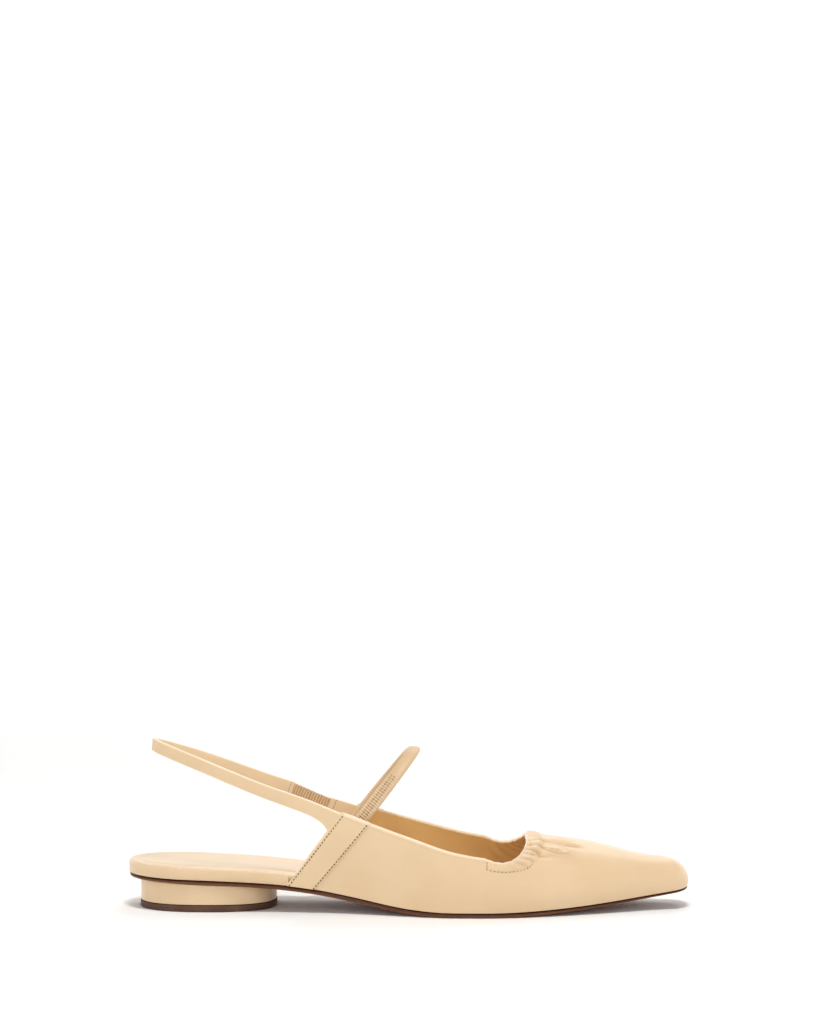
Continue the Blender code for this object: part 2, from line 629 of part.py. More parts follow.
def upper(rows=9):
    """Hollow shell: outer sheet with its band and casing as steps, and an inner sheet inside it."""
    shape = bmesh.new()
    stands = {}
    for side in (-1, 1):
        columns = upper_columns(side)
        edge = [last_point(q, angle, side) for q, angle in opening_edge(side, 40, 40)]
        edge = np.array([point for point in edge if point[0] > THROAT_CORNER - 2 * MM])
        grid = []
        for foot, head, head_angle in columns:
            line = []
            for row in range(rows + 1):
                q, angle = slanted(foot, head, head_angle, row / rows, side)
                point = last_point(q, angle, side)
                if row == 0:
                    point = point + np.array((0.0, 0.0, CLEARANCE))
                vert = shape.verts.new(point)
                step = BAND_STEP * band_share(q, angle, side) + CASING_STEP * casing_share(point, edge)
                stands[vert] = step
                line.append(vert)
            grid.append(line)
        for one, two in zip(grid, grid[1:]):
            for row in range(rows):
                corners = (one[row], two[row], two[row + 1], one[row + 1])
                shape.faces.new(corners if side < 0 else corners[::-1])
    steps = [stands[vert] for vert in shape.verts]
    lift = shape.verts.layers.float.new("lift")
    for vert, value in zip(shape.verts, steps):
        vert[lift] = value
    bmesh.ops.remove_doubles(shape, verts=shape.verts, dist=0.01 * MM)
    shape.normal_update()
    outer = list(shape.verts)
    inner = {vert: shape.verts.new(vert.co - vert.normal * UPPER_WALL) for vert in outer}
    faces = list(shape.faces)
    rim_loops = [edge.link_loops[0] for edge in shape.edges if len(edge.link_faces) == 1]
    rim_pairs = [(loop.vert, loop.link_loop_next.vert) for loop in rim_loops]
    moved = {vert: vert.co + vert.normal * vert[lift] for vert in outer}
    for face in faces:
        shape.faces.new([inner[vert] for vert in reversed(face.verts)])
    for start, end in rim_pairs:
        shape.faces.new((end, start, inner[start], inner[end]))
    for vert, place in moved.items():
        vert.co = place
    return close_mesh("upper", shape, LEATHER)


def sling_point(share, side):
    """Upper edge of the sling at a share of the way from the quarter to the heel."""
    x = BORDER_HEAD + (-SLING_REACH - BORDER_HEAD) * share
    seat_offset = float(medial_line(BORDER_FOOT) - lateral_line(BORDER_FOOT)) / 2
    middle = seat_offset * SLING_CENTRE
    top = sling_inner(share) if side > 0 else sling_outer(share)
    return np.array((x, middle + side * float(sling_spread(share)), float(top)))


def ribbon(name, tops, bottoms, thickness, finish):
    """A flat strap between two edge lines, with slightly rounded edges."""
    tops, bottoms = np.array(tops), np.array(bottoms)
    middle = (tops + bottoms) / 2
    along = np.gradient(middle, axis=0)
    across = tops - bottoms
    out = np.cross(along, across)
    out /= np.linalg.norm(out, axis=1)[:, None]
    loops = []
    for low, high, normal in zip(bottoms, tops, out):
        wide, deep = high - low, normal * thickness
        loops.append([low + wide * across + deep * stand for across, stand in STRAP_SECTION])
    return loft(name, loops, finish)


def sling_lines(path):
    """Upper and lower edge lines of a run of the sling given as (share, side) pairs."""
    tops = np.array([sling_point(share, side) for share, side in path])
    along = np.gradient(tops, axis=0)
    along /= np.linalg.norm(along, axis=1)[:, None]
    flat = np.cross(along, np.array((0.0, 0.0, 1.0)))
    flat /= np.linalg.norm(flat, axis=1)[:, None]
    up = np.cross(flat, along)
    widths = np.array([float(sling_width(share)) for share, side in path])
    return tops, tops - up * widths[:, None]


def border_line(side, heights, gap):
    """Points on the middle of the wall along the quarter's rear edge, set back by a gap."""
    foot, head = border(side)
    head_angle = float(angle_at(head, topline_height(head, side), side))
    points = []
    for height in heights:
        share = 1.0
        for _ in range(30):
            q, angle = slanted(foot, head, head_angle, share, side)
            point = last_point(q, angle, side)
            share = min(max(share + (height - float(point[2])) / TOPLINE_HEIGHT, 0.0), 1.0)
        out = foot_normal(q, side)
        point = point - np.array((float(out[0]), float(out[1]), 0.0)) * UPPER_WALL / 2
        points.append(point - np.array((gap, 0.0, 0.0)))
    return points


def strap_root(side, end_share, steps=6):
    """Edge lines of the flared root of a strap, from the quarter's rear edge to the strap."""
    head = border(side)[1]
    top_height = float(topline_height(head, side)) - CLEARANCE
    low_start, top_start = border_line(side, (CORNER_HEIGHT, top_height), 1.6 * CLEARANCE)
    tops, bottoms = sling_lines([(end_share - 0.01, side), (end_share, side), (end_share + 0.01, side)])
    top_end, low_end = tops[1], bottoms[1]
    run = top_end - top_start
    corner_y = low_end[1] * 0.4 + low_start[1] * 0.6
    corner = np.array((low_start[0] - FLARE_BACK, corner_y, low_start[2] + FLARE_RISE))
    top_line, low_line = [], []
    for step in range(steps):
        share = step / steps
        rest = 1 - share
        top_line.append(top_start + run * share)
        low_line.append(low_start * rest * rest + corner * 2 * rest * share + low_end * share * share)
    return top_line, low_line


def straps():
    """Sling round the heel, with its elastic gore and its inner tab."""
    reach = SLING_REACH + BORDER_HEAD
    root_share = ROOT_LENGTH / reach
    elastic_rear = (BORDER_HEAD - ELASTIC_REAR) / reach
    elastic_front = (BORDER_HEAD - ELASTIC_FRONT) / reach
    root_top, root_low = strap_root(-1, root_share)
    near = [(share, -1) for share in np.linspace(root_share, SLING_TURN, 16)]
    bend = [SLING_TURN + (1 - SLING_TURN) * math.sin(turn * math.pi / 16) for turn in range(1, 8)]
    back = [(share, -1) for share in bend] + [(1.0, 1)] + [(share, 1) for share in bend[::-1]]
    gap = CLEARANCE / reach
    far = [(share, 1) for share in np.linspace(SLING_TURN, elastic_rear + gap, 13)]
    tops, lows = sling_lines(near + back + far)
    ribbon("sling_strap", root_top + list(tops), root_low + list(lows), SLING_THICKNESS, LEATHER)
    run = np.linspace(elastic_rear - gap, elastic_front + gap, 8)
    tops, lows = sling_lines([(share, 1) for share in run])
    trim = (1 - ELASTIC_WIDTH / float(sling_width(elastic_rear))) / 2
    cut = (lows - tops) * trim
    ribbon("sling_elastic", tops + cut, lows - cut, ELASTIC_THICKNESS, ELASTIC)
    top_line, low_line = strap_root(1, elastic_front - gap)
    tops, lows = sling_lines([(elastic_front - 2 * gap, 1), (elastic_front - gap, 1)])
    ribbon("sling_tab", top_line + [tops[1]], low_line + [lows[1]], SLING_THICKNESS, LEATHER)


def instep_seat(height, side):
    """Sideways place of the instep strap's middle where it lies on the inside of the quarter."""
    wall = last_point(INSTEP_FOOT, angle_at(INSTEP_FOOT, height, side), side)
    return float(wall[1]) - side * (UPPER_WALL + INSTEP_THICKNESS / 2 + INSTEP_SEAT)


def instep_tuck(side, shares):
    """Points of the strap's end that runs down inside a quarter, at shares of the tuck's length."""
    edge = float(topline_height(INSTEP_FOOT, side))
    points = []
    for share in shares:
        drop = INSTEP_TUCK * share
        lean = drop * INSTEP_LEAN / (INSTEP_APEX - edge)
        points.append((INSTEP_FOOT - lean, instep_seat(edge - drop, side), edge - drop))
    return points


def instep_arch(steps):
    """Points of the strap from one topline over the instep to the other."""
    near_z, far_z = (float(topline_height(INSTEP_FOOT, side)) for side in (-1, 1))
    near_y, far_y = instep_seat(near_z, -1), instep_seat(far_z, 1)
    middle, half = (near_y + far_y) / 2, (far_y - near_y) / 2
    points = []
    for step in range(steps + 1):
        turn = math.pi * step / steps
        rise = max(math.sin(turn), 0.0) ** ARCH_POWER
        start = near_z + (far_z - near_z) * step / steps
        x, y = INSTEP_FOOT + INSTEP_LEAN * rise, middle - half * math.cos(turn)
        points.append((x, y, start + (INSTEP_APEX - start) * rise))
    return points


def instep_strap(arch_steps=26, ring_steps=12):
    """A padded strap: down inside the outer quarter, over the instep and down inside the inner one."""
    arch = instep_arch(arch_steps)
    middle = (arch[0][1] + arch[-1][1]) / 2
    path = np.array(instep_tuck(-1, (1.0, 0.5)) + arch + instep_tuck(1, (0.5, 1.0)))
    along = np.gradient(path, axis=0)
    along /= np.linalg.norm(along, axis=1)[:, None]
    inward = np.array((0.0, middle, path[0][2])) - path * np.array((0.0, 1.0, 1.0))
    wide = np.cross(along, inward)
    wide /= np.linalg.norm(wide, axis=1)[:, None]
    out = np.cross(wide, along)
    loops = []
    for centre, side_way, face_way in zip(path, wide, out):
        loop = []
        for step in range(ring_steps):
            turn = 2 * math.pi * step / ring_steps
            flat = abs(math.cos(turn)) ** PAD_POWER * math.copysign(INSTEP_WIDTH / 2, math.cos(turn))
            deep = abs(math.sin(turn)) ** PAD_POWER * math.copysign(INSTEP_THICKNESS / 2, math.sin(turn))
            loop.append(centre + side_way * flat + face_way * deep)
        loops.append(loop)
    return loft("instep_strap", loops, LEATHER)


def main():
    """Builds the shoe from the ground up."""
    clear_scene()
    outsole()
    heel()
    footbed()
    upper()
    straps()
    instep_strap()


main()
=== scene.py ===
"""Dresses the sling back flat: soft leather, lining, gathered throat, shirred straps, thread and sole.

Sizes are in metres in the part's own frame: the toe points along +X, the outer side of the foot
faces -Y and the ground is z = 0. The upper, the insole and the straps are drawn on one last.
"""

import logging
import math
from dataclasses import dataclass, field
from enum import Enum
from typing import Callable, Dict, List, NamedTuple, Optional, Sequence, Tuple, Union

import bmesh
import bpy
import numpy as np
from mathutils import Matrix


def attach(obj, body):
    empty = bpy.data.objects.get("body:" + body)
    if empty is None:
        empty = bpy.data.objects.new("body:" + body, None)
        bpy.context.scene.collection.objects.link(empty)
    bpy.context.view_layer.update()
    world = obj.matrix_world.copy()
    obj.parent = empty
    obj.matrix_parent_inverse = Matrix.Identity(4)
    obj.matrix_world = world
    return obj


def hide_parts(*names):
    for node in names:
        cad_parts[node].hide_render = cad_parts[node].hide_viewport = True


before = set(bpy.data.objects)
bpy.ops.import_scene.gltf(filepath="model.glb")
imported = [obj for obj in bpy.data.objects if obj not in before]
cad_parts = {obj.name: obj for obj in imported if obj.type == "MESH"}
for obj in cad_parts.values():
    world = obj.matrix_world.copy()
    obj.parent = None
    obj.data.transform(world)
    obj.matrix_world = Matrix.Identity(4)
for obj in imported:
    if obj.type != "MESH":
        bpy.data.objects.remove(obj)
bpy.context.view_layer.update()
LOG = logging.getLogger("flat")
MM = 0.001
Array = np.ndarray
Colour = Tuple[float, float, float]
Curve = Callable[[Array], Array]
Material = bpy.types.Material
# steps to five neighbouring places, with their weights in a soft average
TAPS = ((-2, 0.10), (-1, 0.24), (0, 0.32), (1, 0.24), (2, 0.10))


class Side(Enum):
    """The two sides of the foot, with the sign of Y as value."""

    OUTER = -1
    INNER = 1


class Grain(Enum):
    """How much of the hide's grain a leather shows."""

    SMOOTH = 0.25
    LINING = 0.6


def unit(vectors: Array) -> Array:
    """Vectors scaled to a length of one."""
    return vectors / np.maximum(np.linalg.norm(vectors, axis=-1, keepdims=True), 1e-12)


def ease(value: Array, low: float, high: float) -> Array:
    """Rises smoothly from 0 at low to 1 at high."""
    share = np.clip((value - low) / (high - low), 0.0, 1.0)
    return share * share * (3 - 2 * share)


def hump(value: Array, width: float) -> Array:
    """A soft ridge of height 1 at zero, falling off over a width."""
    return np.exp(-(value / width) ** 2)


def linear(red: int, green: int, blue: int) -> Colour:
    """A screen colour from 0 to 255 as the renderer's linear colour."""
    return tuple((part / 255.0) ** 2.2 for part in (red, green, blue))


def averaged(curve: Curve, place: Array, reach: float) -> Array:
    """The weighted mean of a curve at five places that are a reach apart."""
    return sum(weight * curve(np.asarray(place, float) + tap * reach) for tap, weight in TAPS)


def arc(line: Array) -> Array:
    """Distance of each point of a line from its start, along the line."""
    return np.concatenate([[0.0], np.cumsum(np.linalg.norm(np.diff(line, axis=0), axis=1))])


def relaxed(line: Array, rounds: int) -> Array:
    """A line of points, smoothed a number of times with its ends held.

    Args:
        line: its points.
        rounds: how many times.

    Returns:
        The smoothed line.
    """
    line = line.copy()
    for _ in range(rounds):
        line[1:-1] = (line[:-2] + 2 * line[1:-1] + line[2:]) / 4
    return line


def oval(turn: Array, power: float) -> Tuple[Array, ...]:
    """Places round an oval of size one, with flatter sides where the power is low."""
    return tuple(np.abs(part) ** power * np.sign(part) for part in (np.cos(turn), np.sin(turn)))


def added(name: str, data: bpy.types.ID) -> bpy.types.Object:
    """A new object that is linked to the scene.

    Args:
        name: its name.
        data: its mesh, lamp or camera.

    Returns:
        The object.
    """
    thing = bpy.data.objects.new(name, data)
    bpy.context.scene.collection.objects.link(thing)
    return thing


def track(places: Sequence[float], values: Sequence[float], smoothing: float = 0.0) -> Curve:
    """A smooth curve through a table's rows.

    Args:
        places: where each row stands, rising.
        values: the value of each row.
        smoothing: reach of the averaging along the curve.

    Returns:
        The value as a function of place.
    """
    at, level = np.asarray(places, float), np.asarray(values, float)
    steps = np.diff(at)
    slopes = np.diff(level) / steps
    pulls = np.zeros_like(level)
    pulls[0], pulls[-1] = slopes[0], slopes[-1]
    for row in range(1, len(at) - 1):
        before, after = slopes[row - 1], slopes[row]
        if before * after > 0.0:
            near, far = 2 * steps[row] + steps[row - 1], steps[row] + 2 * steps[row - 1]
            pulls[row] = (near + far) / (near / before + far / after)

    def curve(place: Array) -> Array:
        """The table's curve, carried on straight beyond its two ends."""
        row = np.clip(np.searchsorted(at, place) - 1, 0, len(steps) - 1)
        inside = np.clip(place, at[0], at[-1])
        share = (inside - at[row]) / steps[row]
        rest = 1.0 - share
        start = rest * rest * (1 + 2 * share) * level[row]
        end = share * share * (3 - 2 * share) * level[row + 1]
        bend = share * rest * steps[row] * (rest * pulls[row] - share * pulls[row + 1])
        beyond = np.where(place < at[0], pulls[0], pulls[-1])
        return start + end + bend + beyond * (np.asarray(place) - inside)

    return lambda place: averaged(curve, place, smoothing)


class Outline(NamedTuple):
    """A row of the sole's outline: shares of the named width on each side of the middle."""

    at: float
    follows: str
    lateral: float
    medial: float


class Section(NamedTuple):
    """A row of the last's sections: shares of the bulge, and how square the side is."""

    at: float
    lateral: float
    medial: float
    square: float


class Crown(NamedTuple):
    """A row of the last's crown: a share of the named height."""

    at: float
    follows: str
    height: float


OUTLINE = tuple(Outline(*row) for row in (
    (0.00, "seat", 0.425, 0.555), (0.12, "seat", 0.440, 0.560),
    (0.20, "seat", 0.442, 0.540), (0.30, "seat", 0.445, 0.470),
    (0.40, "waist", 0.556, 0.462), (0.50, "ball", 0.440, 0.335),
    (0.58, "ball", 0.498, 0.425), (0.64, "ball", 0.500, 0.484),
    (0.70, "ball", 0.468, 0.492), (0.78, "ball", 0.384, 0.448),
    (0.86, "ball", 0.268, 0.372), (0.93, "toe", 0.490, 0.900),
    (1.00, "toe", 0.250, 0.750),
))
SECTIONS = tuple(Section(*row) for row in (
    (0.20, 0.36, 0.48, 0.55), (0.30, 0.48, 0.88, 0.55), (0.40, 0.64, 1.32, 0.62),
    (0.50, 0.58, 1.40, 0.75), (0.58, 0.70, 1.02, 0.84), (0.66, 0.76, 0.78, 0.92),
    (0.76, 0.70, 0.66, 0.95), (0.88, 0.45, 0.45, 0.88), (1.00, 0.22, 0.22, 0.78),
))
CROWN = tuple(Crown(*row) for row in (
    (0.20, "instep", 1.340), (0.40, "instep", 1.190), (0.50, "instep", 1.000),
    (0.58, "instep", 0.780), (0.66, "instep", 0.560), (0.715, "vamp", 1.030),
    (0.745, "vamp", 0.985), (0.780, "vamp", 0.972), (0.815, "vamp", 0.936),
    (0.850, "vamp", 0.872), (0.885, "vamp", 0.795), (0.915, "vamp", 0.733),
    (0.950, "vamp", 0.690), (1.000, "vamp", 0.662),
))
# share of the way back from the tread, share of the heel's rise
SHANK = ((0.00, 0.00), (0.12, 0.165), (0.22, 0.375), (0.32, 0.550), (0.42, 0.690), (0.53, 0.795),
         (0.76, 0.910), (1.00, 1.00))
# share of the way from the quarter's head to the throat, outer and inner share of the topline
TOPLINE = ((0.00, 1.000, 0.966), (0.15, 0.927, 0.928), (0.38, 0.816, 0.838), (0.58, 0.724, 0.766),
           (0.73, 0.651, 0.704), (0.88, 0.602, 0.648), (1.00, 0.576, 0.620))


@dataclass
class Last:
    """The form that the shoe is made on, with the sole's thickness under it."""

    length: float = 265.0 * MM
    ball: float = 75.0 * MM
    seat: float = 52.5 * MM
    waist: float = 47.0 * MM
    toe: float = 24.0 * MM
    heel_round: float = 30.0 * MM
    toe_round: float = 8.0 * MM
    heel_rise: float = 14.4 * MM
    toe_spring: float = 8.8 * MM
    tread_rear: float = 8.0 * MM
    tread_front: float = 36.0 * MM
    instep: float = 76.0 * MM
    vamp: float = 33.4 * MM
    bulge: float = 7.5 * MM
    sole_seat: float = 1.6 * MM
    sole_fore: float = 2.1 * MM
    sole_toe: float = 0.9 * MM
    sole_full: float = -56.1 * MM
    nose: float = 15.5 * MM
    fan: float = 42.5 * MM
    smooth: float = 3.0 * MM
    shank_smooth: float = 8.0 * MM
    soft_from: float = -45.0 * MM
    soft_run: float = 20.0 * MM
    spring_power: float = 1.7
    heel_power: float = 2.1
    toe_power: float = 2.5
    undercut: float = math.radians(52)

    def __post_init__(self) -> None:
        """Draws the curves through the tables."""
        self.heel_end, self.toe_end = -self.length / 2, self.length / 2
        self.tread_middle = (self.tread_rear + self.tread_front) / 2
        wide = [getattr(self, row.follows) for row in OUTLINE]
        self.lateral = self.along(OUTLINE, [row.lateral * size for row, size in zip(OUTLINE, wide)])
        self.medial = self.along(OUTLINE, [row.medial * size for row, size in zip(OUTLINE, wide)])
        self.swell = {
            Side.OUTER: self.along(SECTIONS, [row.lateral * self.bulge for row in SECTIONS]),
            Side.INNER: self.along(SECTIONS, [row.medial * self.bulge for row in SECTIONS]),
        }
        self.square = self.along(SECTIONS, [row.square for row in SECTIONS])
        self.crown = self.along(CROWN, [row.height * getattr(self, row.follows) for row in CROWN])
        reach = self.heel_end - self.tread_rear
        at = [self.tread_rear + row[0] * reach for row in SHANK][::-1]
        rises = [row[1] * self.heel_rise for row in SHANK][::-1]
        self.plain_shank = track(at, rises, self.smooth)

    def along(self, table: Sequence, values: Sequence[float]) -> Curve:
        """A curve through values that stand at a table's shares of the length."""
        return track([self.heel_end + row.at * self.length for row in table], values, self.smooth)

    def shank(self, x: Array) -> Array:
        """Height of the arch, eased more where it comes down to the tread.

        Args:
            x: places along the shoe.

        Returns:
            Heights above the tread.
        """
        share = ease(x, self.soft_from, self.soft_from + self.soft_run)
        soft = averaged(lambda place: np.maximum(self.plain_shank(place), 0.0), x, self.shank_smooth)
        return self.plain_shank(x) * (1 - share) + soft * share

    def settled(self, x: Array) -> Array:
        """How much higher the softly eased arch stands than the plain one."""
        eased, plain = np.maximum(self.shank(x), 0.0), np.maximum(self.plain_shank(x), 0.0)
        return np.where(x < self.tread_middle, eased - plain, 0.0)

    def under(self, x: Array) -> Array:
        """Height of the outsole's underside.

        Args:
            x: places along the shoe.

        Returns:
            Heights.
        """
        ahead = np.clip((x - self.tread_front) / (self.toe_end - self.tread_front), 0.0, None)
        rise = ahead ** self.spring_power * self.toe_spring
        return np.where(x < self.tread_middle, np.maximum(self.shank(x), 0.0), rise)

    def feather(self, x: Array) -> Array:
        """Height of the outsole's top, on which everything else stands.

        Args:
            x: places along the shoe.

        Returns:
            Heights.
        """
        seat = np.clip((x - self.heel_end) / (self.sole_full - self.heel_end), 0.0, 1.0)
        front = self.toe_end - self.toe_round - self.tread_front
        toe = np.clip((x - self.tread_front) / front, 0.0, 1.0)
        grown = (self.sole_fore - self.sole_seat) * seat - (self.sole_fore - self.sole_toe) * toe
        return self.under(x) + self.sole_seat + grown

    @staticmethod
    def round_end(share: Array, length: float, power: float) -> Tuple[Array, Array]:
        """How far along a rounded end a share of the turn lies, and what width is left there.

        Args:
            share: shares of the turn.
            length: length of the end over its half width.
            power: how square the end is.

        Returns:
            Reach along the end and width left, both over the half width.
        """
        turn = share * math.pi / 2
        lead, left = np.abs(np.sin(turn)) / length, np.abs(np.cos(turn))
        reach = (lead ** power + left ** power) ** (-1 / power)
        return reach * np.sin(turn), reach * np.cos(turn)

    def foot(self, q: Array, side: Side) -> Tuple[Array, Array]:
        """The feather line at station q, which equals x except round the two ends.

        Args:
            q: stations.
            side: side of the foot.

        Returns:
            x and y of the line.
        """
        q = np.asarray(q, float)
        toe_start, heel_start = self.toe_end - self.toe_round, self.heel_end + self.heel_round
        toe_share = np.clip((q - toe_start) / self.toe_round, 0, 1)
        toe_along, toe_left = self.round_end(toe_share, self.toe_round / self.toe * 2, self.toe_power)
        heel_share = np.clip((heel_start - q) / self.heel_round, 0, 1)
        heel_along, heel_left = self.round_end(heel_share, self.heel_round / self.seat * 2, self.heel_power)
        x = np.where(q > toe_start, toe_start + toe_along * self.toe / 2, q)
        x = np.where(q < heel_start, heel_start - heel_along * self.seat / 2, x)
        middle, half = (self.medial(x) - self.lateral(x)) / 2, (self.medial(x) + self.lateral(x)) / 2
        return x, middle + side.value * half * toe_left * heel_left

    def outward(self, q: Array, side: Side) -> Tuple[Array, Array]:
        """Outward direction of the feather line in plan.

        Args:
            q: stations.
            side: side of the foot.

        Returns:
            x and y of the directions.
        """
        step = 0.05 * MM
        ahead = self.foot(np.minimum(np.asarray(q, float) + step, self.toe_end), side)
        behind = self.foot(np.maximum(np.asarray(q, float) - step, self.heel_end), side)
        along_x, along_y = ahead[0] - behind[0], ahead[1] - behind[1]
        size = np.maximum(np.hypot(along_x, along_y), 1e-12)
        return -side.value * along_y / size, side.value * along_x / size

    def crown_place(self, q: Array) -> Array:
        """Where the section of station q meets the crown line.

        Args:
            q: stations.

        Returns:
            Places along the shoe.
        """
        start = self.toe_end - self.fan
        share = np.clip((q - start) / self.fan, 0.0, 1.0)
        return np.where(q < start, q, start + self.fan * share - self.nose * share * share)

    def point(self, q: Array, angle: Array, side: Side) -> Array:
        """Points of the last.

        Args:
            q: stations.
            angle: 0 at the feather line, a quarter turn at the crown.
            side: side of the foot.

        Returns:
            An array of points, with x, y, z last.
        """
        q, angle = np.broadcast_arrays(np.asarray(q, float), np.asarray(angle, float))
        foot_x, foot_y = self.foot(q, side)
        out_x, out_y = self.outward(q, side)
        top_x = self.crown_place(q)
        top_y = (self.medial(top_x) - self.lateral(top_x)) / 2
        swell = self.swell[side](q)
        hold = np.clip(np.cos(angle), 0.0, 1.0) ** self.square(q)
        tuck = swell * np.clip(1 - angle / self.undercut, 0, None) ** 2
        x = top_x + (foot_x + out_x * swell - top_x) * hold - out_x * tuck
        y = top_y + (foot_y + out_y * swell - top_y) * hold - out_y * tuck
        low = self.feather(foot_x)
        return np.stack([x, y, low + (self.crown(top_x) - low) * np.sin(angle)], axis=-1)

    def angle_at(self, q: Array, height: Array, side: Side) -> Array:
        """The section angle at which station q reaches a height."""
        low = self.feather(self.foot(q, side)[0])
        return np.arcsin(np.clip((height - low) / (self.crown(self.crown_place(q)) - low), 0.0, 1.0))


class Term:
    """A shader value that can be used in ordinary Python sums."""

    def __init__(self, shade: "Shade", socket: bpy.types.NodeSocket) -> None:
        """Keeps the socket and the material that it belongs to."""
        self.shade = shade
        self.socket = socket

    def math(self, operation: str, *values: "Number") -> "Term":
        """Adds a Math node on these values."""
        return self.shade.node("ShaderNodeMath", {"operation": operation}, dict(enumerate(values)))

    def __add__(self, other: "Number") -> "Term":
        """Sum."""
        return self.math("ADD", self, other)

    def __mul__(self, other: "Number") -> "Term":
        """Product."""
        return self.math("MULTIPLY", self, other)

    def __sub__(self, other: "Number") -> "Term":
        """Difference."""
        return self.math("SUBTRACT", self, other)

    __radd__ = __add__
    __rmul__ = __mul__

    def ranged(self, low: float, high: float) -> "Term":
        """Rises from 0 at low to 1 at high, smoothly."""
        kind = {"interpolation_type": "SMOOTHSTEP"}
        return self.shade.node("ShaderNodeMapRange", kind, {"Value": self, "From Min": low, "From Max": high})


Number = Union[Term, float]


def plug(tree: bpy.types.NodeTree, socket: bpy.types.NodeSocket, value: object) -> None:
    """Links a socket to a term or to another socket, or sets its value.

    Args:
        tree: the node tree.
        socket: the input.
        value: what it gets.
    """
    value = value.socket if isinstance(value, Term) else value
    if isinstance(value, bpy.types.NodeSocket):
        tree.links.new(value, socket)
    else:
        socket.default_value = value


def add_node(tree: bpy.types.NodeTree, kind: str, settings: Dict, inputs: Dict) -> bpy.types.Node:
    """Adds one node to a tree.

    Args:
        tree: the tree.
        kind: the node's type.
        settings: properties, set before the sockets.
        inputs: value, term or socket for each input, by name or index.

    Returns:
        The new node.
    """
    node = tree.nodes.new(kind)
    for key, value in settings.items():
        setattr(node, key, value)
    for key, value in inputs.items():
        plug(tree, node.inputs[key], value)
    return node


class Shade:
    """A material under construction, on object coordinates."""

    def __init__(self, name: str) -> None:
        """Starts a material with its plain shader.

        Args:
            name: its name.
        """
        self.material = bpy.data.materials.new(name)
        self.material.use_nodes = True
        self.tree = self.material.node_tree
        self.shader = self.tree.nodes["Principled BSDF"]
        self.place = self.node("ShaderNodeTexCoord", {}, {}, "Object")

    def node(self, kind: str, settings: Dict, inputs: Dict, output: Union[str, int] = 0) -> Term:
        """Adds one node and gives the wanted output of it as a term."""
        return Term(self, add_node(self.tree, kind, settings, inputs).outputs[output])

    def noise(self, scale: float, detail: float = 2.0, rough: float = 0.5) -> Term:
        """A noise value with features of about 1 / scale metres."""
        inputs = {"Vector": self.place, "Scale": scale, "Detail": detail, "Roughness": rough}
        return self.node("ShaderNodeTexNoise", {}, inputs, "Fac")

    def cells(self, scale: float, soft: float = 0.6) -> Term:
        """Distance from the middle of rounded cells."""
        inputs = {"Vector": self.place, "Scale": scale, "Smoothness": soft}
        return self.node("ShaderNodeTexVoronoi", {"feature": "SMOOTH_F1"}, inputs, "Distance")

    def attribute(self, name: str) -> Term:
        """A value stored on the mesh's points."""
        return self.node("ShaderNodeAttribute", {"attribute_name": name}, {}, "Fac")

    def split(self, axis: int) -> Term:
        """One coordinate of the object's own place."""
        return self.node("ShaderNodeSeparateXYZ", {}, {0: self.place}, axis)

    def mix(self, share: Number, first: Union[Term, Colour], second: Union[Term, Colour]) -> Term:
        """A blend of two colours."""
        colours = [value if isinstance(value, Term) else (*value, 1.0) for value in (first, second)]
        return self.node("ShaderNodeMix", {"data_type": "RGBA"}, {0: share, 6: colours[0], 7: colours[1]}, 2)

    def bump(self, height: Term, depth: float, strength: float, under: Optional[Term] = None) -> Term:
        """Relief of a depth in metres, over an earlier bump.

        Args:
            height: the relief as a term.
            depth: its depth.
            strength: its strength.
            under: an earlier bump.

        Returns:
            The normal.
        """
        inputs = {"Height": height, "Distance": depth, "Strength": strength}
        below = {"Normal": under} if under else {}
        return self.node("ShaderNodeBump", {}, {**inputs, **below}, "Normal")

    def feed(self, **inputs: Union[Number, Colour]) -> Material:
        """Sets or links the shader's sockets; underscores stand for spaces.

        Args:
            inputs: value or term of each socket.

        Returns:
            The finished material.
        """
        for key, value in inputs.items():
            plug(self.tree, self.shader.inputs[key.replace("_", " ")], value)
        return self.material


@dataclass(frozen=True)
class Leather:
    """Soft leather: colour, the tone of its shaded folds, gloss and grain."""

    name: str
    colour: Colour
    # deep is the darker tone for the mottling and for the painted shade; pale is the paler tone for the
    # flecks and for the painted highlight
    deep: Colour
    pale: Colour
    roughness: float
    coat: float
    grain: Grain
    mottle_scale: float = 28.0
    fine_scale: float = 260.0
    pore_scale: float = 1500.0
    line_scale: float = 700.0
    pillow_scale: float = 75.0
    mottled: float = 0.16
    flecked: float = 0.04
    # weights of the painted highlight and of the painted shade
    painted_highlight_share: float = 0.8
    shaded: float = 0.75
    uneven: float = 0.12
    line_depth: float = 0.05 * MM
    pore_depth: float = 0.06 * MM
    pillow_depth: float = 0.25 * MM

    def material(self) -> Material:
        """Builds the material from mottling, pores and fine creases, with a paler painted highlight and a
        darker painted shade read from the points.

        Returns:
            The material.
        """
        shade = Shade(self.name)
        mottle = shade.noise(self.mottle_scale, 3.0).ranged(0.35, 0.7)
        fine = shade.noise(self.fine_scale, 4.0, 0.6)
        pores = shade.cells(self.pore_scale)
        hairline = shade.noise(self.line_scale, 5.0, 0.65)
        crease = shade.attribute("crease")
        base = shade.mix(mottle * self.mottled, self.colour, self.deep)
        base = shade.mix(fine.ranged(0.5, 0.75) * self.flecked, base, self.pale)
        # painted highlight: paler on folded edges, puffs and ribs
        base = shade.mix(shade.attribute("fold") * self.painted_highlight_share, base, self.pale)
        # painted shade: darker at seams, in valleys and in creases
        base = shade.mix(crease * self.shaded, base, self.deep)
        rough = self.roughness + (fine - 0.5) * self.uneven + crease * self.uneven
        relief = shade.bump(hairline, self.line_depth, self.grain.value)
        relief = shade.bump(pores, self.pore_depth, self.grain.value, relief)
        pillow = shade.noise(self.pillow_scale)
        relief = shade.bump(pillow, self.pillow_depth, self.grain.value * 0.8, relief)
        return shade.feed(Base_Color=base, Roughness=rough, Normal=relief, Coat_Weight=self.coat,
                          Coat_Roughness=0.35, Specular_IOR_Level=0.45)


